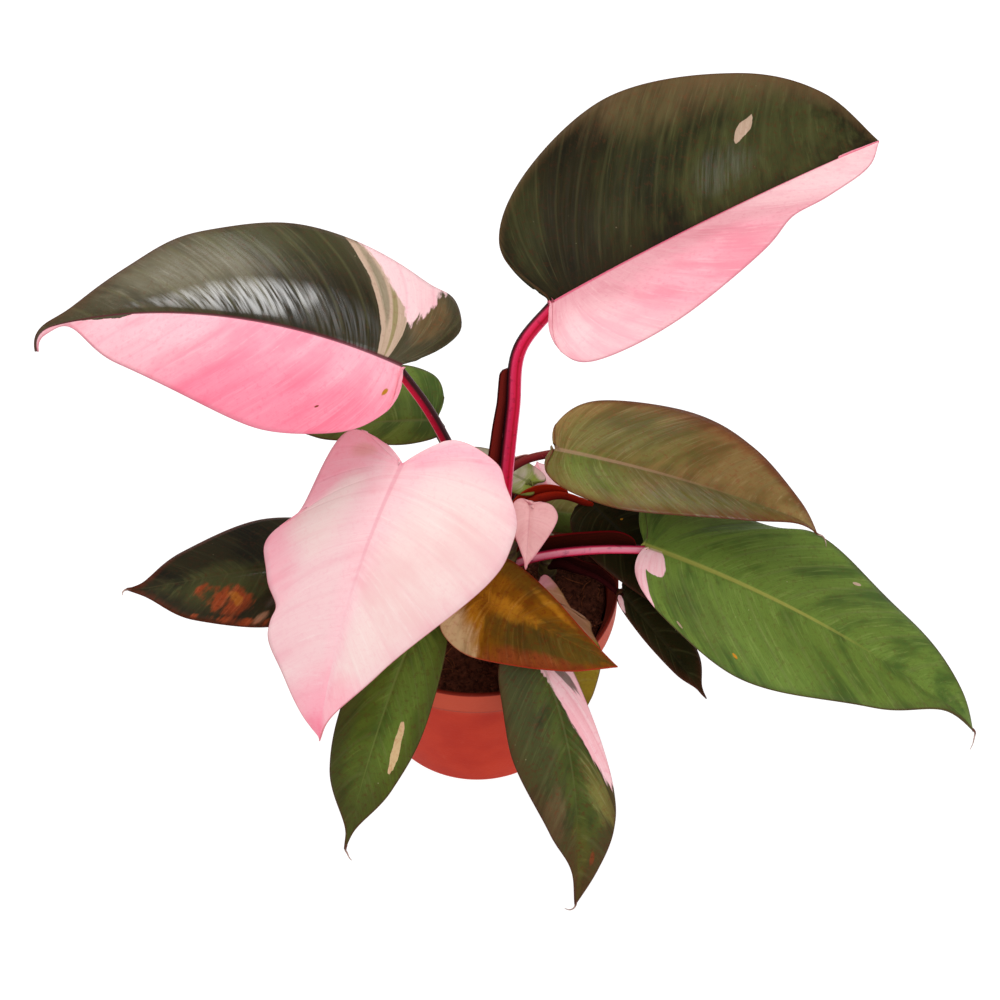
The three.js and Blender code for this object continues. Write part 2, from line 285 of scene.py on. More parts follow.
def sweep(name, points, reachOf, columns, around):
    # a round rod along a smooth line; reachOf(share, turn) is its radius, and a turn of 0 is
    # the side at the right or below, 0.25 the front, 0.5 the left or top
    line = [Vector(point) for point in points]
    stations = [smoothLine(line, index / columns) for index in range(columns + 1)]
    frames = []
    for index, point in enumerate(stations):
        ahead = stations[min(index + 1, columns)] - stations[max(index - 1, 0)]
        ahead.normalize()
        aside = ahead.cross(facing).normalized()
        frames.append((point, aside, aside.cross(ahead).normalized()))

    def placeOf(share, turn):
        point, aside, front = frames[round(share * columns)]
        angle = 2 * math.pi * turn
        out = aside * math.cos(angle) + front * math.sin(angle)
        return (point + out * reachOf(share, turn)) * mm

    return layGrid(name, columns, around, placeOf)


# The leaves, in mm: base is where a blade joins its petiole, and half is its half widths
# left and right of the midrib. heading, pitch and roll set the midrib at the base, in degrees;
# droop and bend turn it evenly, and hook bends its last stretch. fold lifts each half from
# the midrib, and curl bends it on towards its edge. The outline of each half is in fractions:
# how far its lobe goes back and where across, how full the lobe is, where the half is widest,
# its width at 0.7 of the length and near the tip, and how much is a narrow drip tip.

plainLeaf = dict(
    pitch=0, roll=0, droop=15, bend=0, hook=0, fold=[0, 0], curl=[-10, -10],
    back=[0.14, 0.14], backAcross=[0.45, 0.45], lobe=[0.71, 0.71], widest=[0.25, 0.25],
    shoulder=[0.62, 0.62], tail=[0.1, 0.1], tailAt=0.92, drip=0)

leaves = {
    "upper_right": dict(
        stem="main", start=110, girth=3.2, via=[[12, 0, 150], [15, 5, 190], [17.7, 14, 214]],
        base=[30, 25, 229], length=153, half=[60, 47], heading=30, pitch=10, droop=10, roll=8,
        fold=[32, 26], curl=[-6, -10], back=[0.05, 0.08], backAcross=[0.47, 0.64],
        lobe=[0.63, 0.79], widest=[0.36, 0.19], shoulder=[0.78, 0.48], tail=[0.44, 0.29],
        tailAt=0.9),
    "upper_left": dict(
        stem="main", start=104, girth=2.5, via=[[3, 5, 118], [-5, 6, 148], [-18, 8, 185]],
        base=[-28, 10, 209], length=164, half=[41, 50], heading=171, pitch=26, droop=61, hook=57,
        roll=-15, fold=[-12, 6], curl=[-25, -30], back=[0, 0.11], backAcross=[0.52, 0.56],
        lobe=[0.66, 0.67], widest=[0.3, 0.32], shoulder=[0.48, 0.41], tail=[0.02, 0.09],
        tailAt=0.85, drip=0.09),
    "front_pink": dict(
        stem="main", start=98, girth=2.5, via=[[3, -5, 108], [-5, -10, 136], [-16, -14, 163]],
        base=[-28, -15, 180], length=118, half=[53, 45], heading=-122, pitch=-34, droop=26,
        bend=15, hook=8, fold=[-5, -8], curl=[-15, -15], back=[0.14, 0], backAcross=[0.26, 0.7],
        lobe=[0.77, 0.31], widest=[0.16, 0.4], shoulder=[0.37, 0.64], tail=[0.05, 0.23]),
    "right_upper": dict(
        stem="main", start=104, girth=2, via=[[12, 8, 118], [11.5, 9, 144], [20, 11, 151.5]],
        base=[32, 10, 160], length=114, half=[40.5, 21], heading=-11, pitch=-4, droop=18, hook=32,
        fold=[-2, -5], curl=[-8, -12], back=[0.01, 0], backAcross=[0.38, 0.62],
        lobe=[0.7, 0.64], widest=[0.43, 0.26], shoulder=[0.75, 0.46], tail=[0.27, 0.12],
        tailAt=0.9),
    "right_lower": dict(
        stem="main", start=94, girth=2.2, via=[[19, -3, 104], [32, -8, 115], [51, -13, 124]],
        base=[69, -15, 129], length=158, half=[44.5, 38], heading=-18.5, pitch=-8, droop=24,
        bend=-6, hook=22, fold=[-3, -5], curl=[-10, -12], back=[0, 0], backAcross=[0.8, 0.35],
        lobe=[0.3, 0.65], widest=[0.4, 0.33], shoulder=[0.65, 0.59], tail=[0.24, 0.05], tailAt=0.9),
    "back_left": dict(
        stem="main", start=94, girth=1.9, via=[[4, 9, 104], [-6, 17, 126], [-13, 22, 150]],
        base=[-16, 22, 164], length=60, half=[12, 33], heading=180, back=[0.06, 0.05]),
    "behind_right": dict(
        stem="main", start=106, girth=1.8, via=[[18, 5, 114], [22, 11, 123], [34, 14, 126]],
        base=[48, 15, 121], length=75, half=[26, 19], heading=-42, pitch=-15, back=[0.1, 0.03]),
    "back_small": dict(
        stem="main", start=98, girth=1.4, via=[[14, 9, 105], [15.5, 16, 114], [18, 19, 122]],
        base=[22, 20, 127.5], length=38, half=[9, 9.5], heading=146, droop=6),
    "back_pink": dict(
        stem="main", start=100, girth=1.2, via=[[20, 12, 106], [27, 17, 115]],
        base=[31, 19, 123], length=22, half=[9, 9], heading=105, pitch=-12, droop=5),
    "left": dict(
        stem="front", start=86, girth=1.6, via=[[-2, -23, 93], [-20, -20, 106], [-42, -14, 112]],
        base=[-62, -9, 112], length=82, half=[27, 31], heading=192, pitch=4, droop=8, hook=-20,
        fold=[-5, -5], curl=[-12, -12], widest=[0.32, 0.26], shoulder=[0.68, 0.58],
        tail=[0.12, 0.09]),
    "front_left": dict(
        stem="front", start=91, girth=1.5, via=[[0, -28, 99], [-6, -34, 110], [-14, -39, 117]],
        base=[-22, -42, 117], length=100, half=[18, 18], heading=-114, pitch=-22, droop=34, bend=2,
        back=[0.04, 0.1], widest=[0.42, 0.44], shoulder=[0.7, 0.84], tail=[0.09, 0.09]),
    "front_right": dict(
        stem="front", start=85, girth=1.6, via=[[7, -29, 91], [11, -35, 102], [17, -45, 110]],
        base=[24, -53, 111], length=114, half=[16, 23.5], heading=-58.5, pitch=-34, droop=38,
        bend=-39.5, hook=-12, back=[0, 0], backAcross=[0.53, 0.7], lobe=[0.51, 0.64],
        widest=[0.55, 0.34], shoulder=[0.93, 0.49], tail=[0.5, 0.11], tailAt=0.86),
    "centre": dict(
        stem="front", start=99, girth=1.5, via=[[5, -27, 110], [3, -31, 118]], base=[0, -36, 123],
        length=64, half=[24, 25], heading=-25, pitch=-6, droop=10, fold=[0, -5], curl=[-6, -12],
        widest=[0.06, 0.14], shoulder=[0.32, 0.54], tail=[0.08, 0.18]),
    "front_small": dict(
        stem="front", start=96, girth=1.3, via=[[9, -23, 102], [15, -23, 109], [20, -24, 113]],
        base=[25, -26, 113], length=52, half=[15, 12], heading=-57, pitch=-35, back=[0.08, 0.12],
        lobe=[0.55, 0.71], widest=[0.55, 0.3], shoulder=[0.97, 0.7], tail=[0.35, 0.15]),
    "right_small": dict(
        stem="right", start=91, girth=1.4, via=[[35, 1, 97], [42, -7, 103], [51, -14, 106]],
        base=[60, -20, 104], length=56, half=[14, 6], heading=-43, pitch=-25, droop=12,
        back=[0.06, 0], widest=[0.25, 0.35], shoulder=[0.75, 0.8]),
    "pink_heart": dict(
        stem="right", start=103, girth=1.3, via=[[29, 1, 114], [26, -4, 131], [23, -8, 142]],
        base=[22, -9, 147], length=26, half=[11.5, 8], heading=-95, pitch=-45, droop=5,
        back=[0.06, 0.1], widest=[0.16, 0.18], shoulder=[0.4, 0.36], tail=[0.06, 0.06]),
    "back_low": dict(
        stem="right", start=90, girth=1.3, via=[[29, 12, 95], [27, 19, 99], [25, 25, 101]],
        base=[27, 27, 101], length=38, half=[11, 11], heading=-3, pitch=-3, droop=10),
}

stems = {
    "main": dict(foot=(11, 1), radius=6.5, top=116),
    "front": dict(foot=(4, -24), radius=3.6, top=104),
    "right": dict(foot=(30, 6), radius=3.6, top=110),
}

# What all blades share: lengths and thicknesses in mm, places as shares of the length.
blade = {
    "lift": 0.2, "leastHalf": 0.6, "start": 0.012, "end": 0.996, "veinBow": 0.14,
    "dripWidth": 0.035, "hookStart": 0.85, "stations": 60, "samples": 240, "thickness": 0.42,
    "ribDepth": 2.2, "ribWidth": 1.3, "ribTaper": 0.7, "channel": 0.5, "channelWidth": 1.2,
    "channelEnd": 0.5, "crowding": 1.5, "puffWidth": 20, "tipStart": 0.85, "tipThinning": 0.8,
    "usualLength": 150,
}
bladeMarks = ("fromRib", "fromEdge", "fromBase")  # kept at a blade's points for its paint

# What each blade adds to its plain shape: how many side veins its halves show and how much
# the leaf puffs up between them; the ripple of its edge, as height, waves and start; small
# bulges (or dents) of the edge, as half, place along it, size and spread; and the dry thread
# at its tip, as steps from the tip.
plainTrim = dict(veins=11, puff=0.08, ripple=(0.5, 2.0, 0.0), bulges=(), thread=(),
                 columns=120, rows=44)
smallTrim = dict(veins=6, ripple=(0.2, 1.0, 0.0), columns=60, rows=28)
trims = {
    "upper_right": dict(veins=15, ripple=(0.8, 1.5, 0.1), columns=150, rows=56,
                        bulges=((1, 0.685, -0.13, 0.045), (1, 0.45, -0.02, 0.1))),
    "upper_left": dict(veins=15, puff=0.14, ripple=(1.0, 1.6, 0.3), columns=150, rows=56,
                       bulges=((1, 0.66, 0.16, 0.09), (1, 0.155, 0.15, 0.035))),
    "front_pink": dict(veins=11, puff=0.12, ripple=(1.2, 1.8, 0.6), columns=140, rows=56,
                       bulges=((1, 0.5, 0.07, 0.05), (1, 0.66, -0.12, 0.04),
                               (1, 0.78, 0.12, 0.05), (0, 0.26, 0.03, 0.025),
                               (0, 0.325, -0.045, 0.03), (0, 0.39, 0.035, 0.035))),
    "right_upper": dict(veins=12, thread=((2.4, 0, -1.6), (4, 0, -5), (4.6, 0, -9)),
                        columns=130, rows=50),
    "right_lower": dict(veins=14, ripple=(1.6, 2.4, 0.2), columns=150, rows=56,
                        bulges=((0, 0.06, -0.1, 0.06),),
                        thread=((0.2, 0, -3), (0.3, 0, -8), (-0.3, 0, -13))),
    "front_left": dict(thread=((0.6, 0, -3), (1.2, 0, -6), (2.2, 0, -8.5))),
    "front_right": dict(thread=((-0.8, 0, -2.8), (-2.4, 0, -4.1), (-4.6, 0, -2.8))),
    "left": dict(thread=((-1.2, 0, -1), (-1.8, 0, -2.5), (-2, 0, -4))),
    "pink_heart": smallTrim,
    "back_low": smallTrim,
    "back_small": smallTrim,
    "back_pink": smallTrim,
    "right_small": dict(veins=8, ripple=(0.3, 1.0, 0.0), columns=80, rows=32),
    "front_small": dict(veins=8, ripple=(0.3, 1.0, 0.0), columns=80, rows=32,
                        bulges=((0, 0.3, -0.12, 0.08), (0, 0.42, 0.16, 0.035))),
}


def smoothStep(value, low, high):
    share = min(max((value - low) / (high - low), 0), 1)
    return share * share * (3 - 2 * share)


def midribOf(leaf):
    # stations along a midrib: point, heading and pitch
    steps = blade["stations"]
    point = Vector(leaf["base"])
    stations = []
    for index in range(steps + 1):
        along = index / steps
        hooked = leaf["hook"] * smoothStep(along, blade["hookStart"], 1)
        pitch = math.radians(leaf["pitch"] - leaf["droop"] * along - hooked)
        heading = math.radians(leaf["heading"] + leaf["bend"] * along)
        stations.append((point.copy(), heading, pitch))
        point += aheadOf(heading, pitch) * leaf["length"] / steps
    return stations


def aheadOf(heading, pitch):
    flat = math.cos(pitch)
    return Vector((flat * math.cos(heading), flat * math.sin(heading), math.sin(pitch)))


def frameAt(leaf, stations, along):
    # the midrib's point, and the directions across and out of the blade
    steps = len(stations) - 1
    place = min(max(along, 0), 1) * steps
    index = min(int(place), steps - 1)
    share = place - index
    near, far = stations[index], stations[index + 1]
    point = near[0].lerp(far[0], share)
    point += aheadOf(near[1], near[2]) * min(along, 0) * leaf["length"]
    heading = near[1] + (far[1] - near[1]) * share
    pitch = near[2] + (far[2] - near[2]) * share
    ahead = aheadOf(heading, pitch)
    level = Vector((-math.sin(heading), math.cos(heading), 0))
    across = Matrix.Rotation(math.radians(leaf["roll"]), 3, ahead) @ level
    return point, across, ahead.cross(across)


def outlineOf(leaf, side):
    # x is the share of the midrib, y of the half width, and z where the side vein starts
    back, across = leaf["back"][side], leaf["backAcross"][side]
    lobe, widest = leaf["lobe"][side], leaf["widest"][side]
    dripStart = 1 - leaf["drip"]
    drip = [(dripStart, blade["dripWidth"], dripStart - 0.01)] if leaf["drip"] else []
    return [Vector(point) for point in (
        (0, 0, 0),
        (-back, across, 0.01),
        (widest - lobe * (widest + back), across + lobe * (1 - across), 0.03),
        (widest, 1, 0.1),
        (0.7, leaf["shoulder"][side], 0.5),
        (leaf["tailAt"], leaf["tail"][side], leaf["tailAt"] - 0.05),
        *drip,
        (1, 0, 1))]


class Blade:
    # one blade's surface, mapped by its share along the margin (0 to 1) and its reach from
    # the midrib to the left edge (1) or the right edge (-1)
    def __init__(self, name):
        self.leaf = {**plainLeaf, **leaves[name]}
        self.trim = {**plainTrim, **trims.get(name, {})}
        self.stations = midribOf(self.leaf)
        self.outlines = [outlineOf(self.leaf, side) for side in (0, 1)]
        count = blade["samples"]
        reach = blade["end"] - blade["start"]
        self.steps = [blade["start"] + reach * index / count for index in range(count + 1)]
        halves = [self.edgeShares(side) for side in (0, 1)]
        self.shares = [(left + right) / 2 for left, right in zip(*halves)]

    def edgeShares(self, side):
        sign = 1 if side == 0 else -1
        points = [self.point(step, sign) for step in self.steps]
        lengths = [0]
        for near, far in zip(points, points[1:]):
            lengths.append(lengths[-1] + (far - near).length)
        return [length / lengths[-1] for length in lengths]

    def stepAt(self, along):
        index = min(max(bisect.bisect_right(self.shares, along) - 1, 0), blade["samples"] - 1)
        low, high = self.shares[index], self.shares[index + 1]
        share = (along - low) / (high - low)
        return self.steps[index] + (self.steps[index + 1] - self.steps[index]) * share

    def edge(self, step, side, along=None):
        edge = smoothLine(self.outlines[side], step)
        if along is not None:
            for half, place, size, spread in self.trim["bulges"]:
                if half == side:
                    edge.y *= 1 + size * math.exp(-((along - place) / spread) ** 2)
        return edge

    def point(self, step, reach, lift=0.0, along=None):
        # a point of the blade, and how far it is from the midrib and from the edge
        leaf = self.leaf
        side = 1 if reach < 0 else 0
        share = abs(reach)
        edge = self.edge(step, side, along)
        root = edge.z + (edge.x - edge.z) * share - blade["veinBow"] * share * (1 - share) * edge.y
        half = leaf["half"][side]
        thinned = blade["tipThinning"] * smoothStep(step, blade["tipStart"], 1)
        least = blade["leastHalf"] * (1 - thinned)
        full = max(edge.y * half, least)
        wide = share * full
        fold, curl = math.radians(leaf["fold"][side]), math.radians(leaf["curl"][side])
        angle = fold + curl * wide / half
        out = half / curl * (math.sin(angle) - math.sin(fold))
        up = half / curl * (math.cos(fold) - math.cos(angle))
        if along is not None:
            height, waves, start = self.trim["ripple"]
            up += height * share ** 2 * math.sin(2 * math.pi * (waves * along + start + side / 3))
            vein = self.trim["veins"] * along % 1 - 0.5
            puffed = self.trim["puff"] * (1 - 4 * vein * vein) * 4 * share * (1 - share)
            up += puffed * min(full / blade["puffWidth"], 1)
            groove = math.exp(-(wide / blade["channelWidth"]) ** 2)
            up -= blade["channel"] * groove * (1 - smoothStep(root, blade["channelEnd"], 1))
            self.marks = (wide, full - wide, root)  # in the order of bladeMarks
        sign = 1 if side == 0 else -1
        tilt = angle if share > 0 else 0
        point, across, outward = frameAt(leaf, self.stations, root)
        return (point + across * sign * (out - lift * math.sin(tilt))
                + outward * (up + lift * math.cos(tilt)))

    def place(self, along, across):
        reach = 2 * across - 1
        reach = math.copysign(abs(reach) ** blade["crowding"], reach)
        return self.point(self.stepAt(along), reach, blade["lift"], along) * mm, reach


def makeBlade(name, materials):
    surface = Blade(name)
    trim = surface.trim
    corners = []

    def placeOf(along, across):
        point, reach = surface.place(along, across)
        corners.append((along, reach, *surface.marks))
        return point

    piece = layGrid("blade_" + name, trim["columns"], trim["rows"], placeOf, closed=False)
    mesh = piece.data
    for order, mark in enumerate(bladeMarks):
        values = [corner[2 + order] for corner in corners]
        mesh.attributes.new(mark, "FLOAT", "POINT").data.foreach_set("value", values)
    depth = piece.vertex_groups.new(name="depth")
    for index, corner in enumerate(corners):
        wide, root = corner[2], min(max(corner[4], 0), 1)
        rib = math.exp(-(wide / blade["ribWidth"]) ** 2) * (1 - root) ** blade["ribTaper"]
        thick = blade["thickness"] + (blade["ribDepth"] - blade["thickness"]) * rib
        depth.add([index], thick / blade["ribDepth"], "REPLACE")
    uv = mesh.uv_layers.active.data
    for loop in mesh.loops:
        along, reach = corners[loop.vertex_index][:2]
        uv[loop.index].uv = (along, (reach + 1) / 2)
    applied(piece, "SOLIDIFY", thickness=blade["ribDepth"] * mm, offset=-1, vertex_group="depth",
            use_rim=True, material_offset=1, material_offset_rim=2)
    for material in materials:
        piece.data.materials.append(material)
    if trim["thread"]:
        piece = joined([piece, makeThread(name, surface)], piece.name)
    return piece


# the fine dry end of a leaf's tip: it starts inside the blade and thins towards its end
thread = {"overlap": 2.5, "taper": 0.42, "end": 0.12,
          "tones": ((150, 112, 100), (196, 168, 158)), "footTone": (92, 48, 34)}


def makeThread(name, surface):
    tip, heading, pitch = surface.stations[-1]
    points = [tip - aheadOf(heading, pitch) * thread["overlap"], tip]
    points += [tip + Vector(step) for step in surface.trim["thread"]]

    def reachOf(share, turn):
        return pointed if atEnd(share) else thread["taper"] * (1 - share) + thread["end"]

    piece = sweep("thread_" + name, points, reachOf, columns=20, around=8)
    piece.data.materials.append(threadPaint)
    return piece


def makeThreadPaint():
    paint = Paint("dryTip")
    along = paint.surface()[0]
    stained = paint.noise(paint.place(), 600, 2.0)
    deep, pale = [tone(*rgb) for rgb in thread["tones"]]
    colour = paint.mix(stained.rise(0.4, 0.6), deep, pale)
    colour = paint.mix(along.rise(0.5, 0.1), colour, tone(*thread["footTone"]))
    return paint.finish(colour, 0.6, stained, 0.0001, 0.2)


threadPaint = makeThreadPaint()


# Leaf colours: each tissue has a deep, a middle and a pale tone, and one for its mottling.
tissues = {
    "dark": [(22, 20, 9), (38, 34, 16), (62, 56, 32), (56, 30, 14)],
    "umber": [(88, 70, 44), (110, 90, 60), (138, 118, 88), (118, 74, 46)],
    "bronze": [(56, 50, 33), (73, 67, 47), (106, 99, 79), (88, 62, 46)],
    "pewter": [(98, 92, 70), (122, 115, 92), (172, 164, 142), (104, 84, 60)],
    "chestnut": [(112, 88, 42), (142, 116, 66), (172, 150, 104), (144, 78, 48)],
    "olive": [(98, 92, 40), (124, 118, 60), (164, 156, 110), (122, 78, 44)],
    "fern": [(68, 92, 34), (103, 127, 50), (138, 156, 80), (88, 82, 34)],
    "green": [(64, 78, 22), (86, 102, 32), (112, 126, 54), (84, 60, 24)],
    "leaf": [(112, 128, 42), (138, 150, 60), (176, 186, 120), (130, 120, 60)],
    "ash": [(156, 146, 124), (184, 172, 152), (206, 198, 180), (150, 150, 112)],
    "moss": [(46, 48, 24), (68, 70, 36), (94, 98, 56), (82, 48, 26)],
    "lime": [(112, 94, 14), (138, 114, 24), (166, 146, 60), (122, 80, 26)],
    "cream": [(196, 164, 118), (210, 178, 132), (226, 198, 160), (190, 140, 100)],
    "beige": [(166, 140, 116), (190, 162, 140), (212, 188, 168), (170, 134, 118)],
    "tan": [(136, 94, 68), (158, 112, 84), (184, 142, 114), (146, 92, 66)],
    "gold": [(168, 106, 18), (198, 132, 30), (220, 164, 74), (160, 84, 20)],
    "ochre": [(96, 54, 6), (132, 80, 10), (172, 112, 32), (112, 44, 10)],
    "sienna": [(66, 46, 12), (86, 66, 20), (112, 90, 38), (100, 46, 14)],
    "rust": [(104, 40, 14), (136, 58, 26), (176, 92, 58), (80, 34, 16)],
    "candy": [(250, 122, 148), (252, 143, 165), (253, 170, 186), (250, 120, 146)],
    "rose": [(251, 148, 168), (253, 172, 187), (254, 196, 206), (250, 140, 162)],
    "blush": [(243, 176, 184), (248, 200, 205), (252, 216, 216), (240, 166, 178)],
    "petal": [(240, 182, 190), (245, 203, 205), (248, 219, 217), (238, 176, 187)],
    "ivory": [(243, 206, 200), (246, 221, 214), (249, 232, 225), (243, 198, 196)],
    "shell": [(215, 137, 148), (226, 161, 169), (239, 191, 194), (217, 135, 148)],
    "coral": [(240, 128, 148), (248, 162, 175), (250, 190, 197), (238, 134, 154)],
    "dusty": [(220, 152, 154), (234, 178, 177), (242, 196, 193), (222, 154, 156)],
    "mauve": [(168, 108, 114), (190, 130, 134), (206, 150, 154), (172, 110, 114)],
}
roughness = {"dark": 0.4, "bronze": 0.3, "moss": 0.42, "green": 0.45, "olive": 0.4}
pinkTissues = ("candy", "rose", "blush", "petal", "ivory", "shell", "coral", "dusty", "mauve",
               "cream")

# A look: halves are the tissues left and right of the midrib. rib has a tone, a width in mm, a
# strength and the half that shows it (None for both); along the leaf it is full up to the
# second share of ribFade and gone from the first on. edge has a tone for dark and one for pink
# tissue, margin a tone, a width and a strength, and shine has places, sizes and strengths.
plainLook = dict(
    halves=("green", "green"), patches=(), veins=0.1, cloud=38, mottle=0.5, gloss=0.08,
    rib=((112, 116, 66), 0.9, 0.6, None), ribFade=(1.2, 1.1),
    edge=((78, 36, 24), (214, 124, 138)), edgeWidth=0.45,
    margin=((60, 40, 24), 5.0, 0.4), specks=0.5, under=(88, 44, 40), shine=())


# A patch of a tissue lies at a place along the margin and a reach, and has a size each way;
# lean shifts it along with its reach, rag makes its outline ragged, square makes it less
# round, and side keeps it on the left (0) or right (1) half.
def spot(tissue, at, size, **more):
    return dict(tissue=tissue, at=at, size=size, **more)


def wash(tissue, at, size, **more):  # a spot that fades out from its very middle
    return spot(tissue, at, size, soft=0.95, **more)


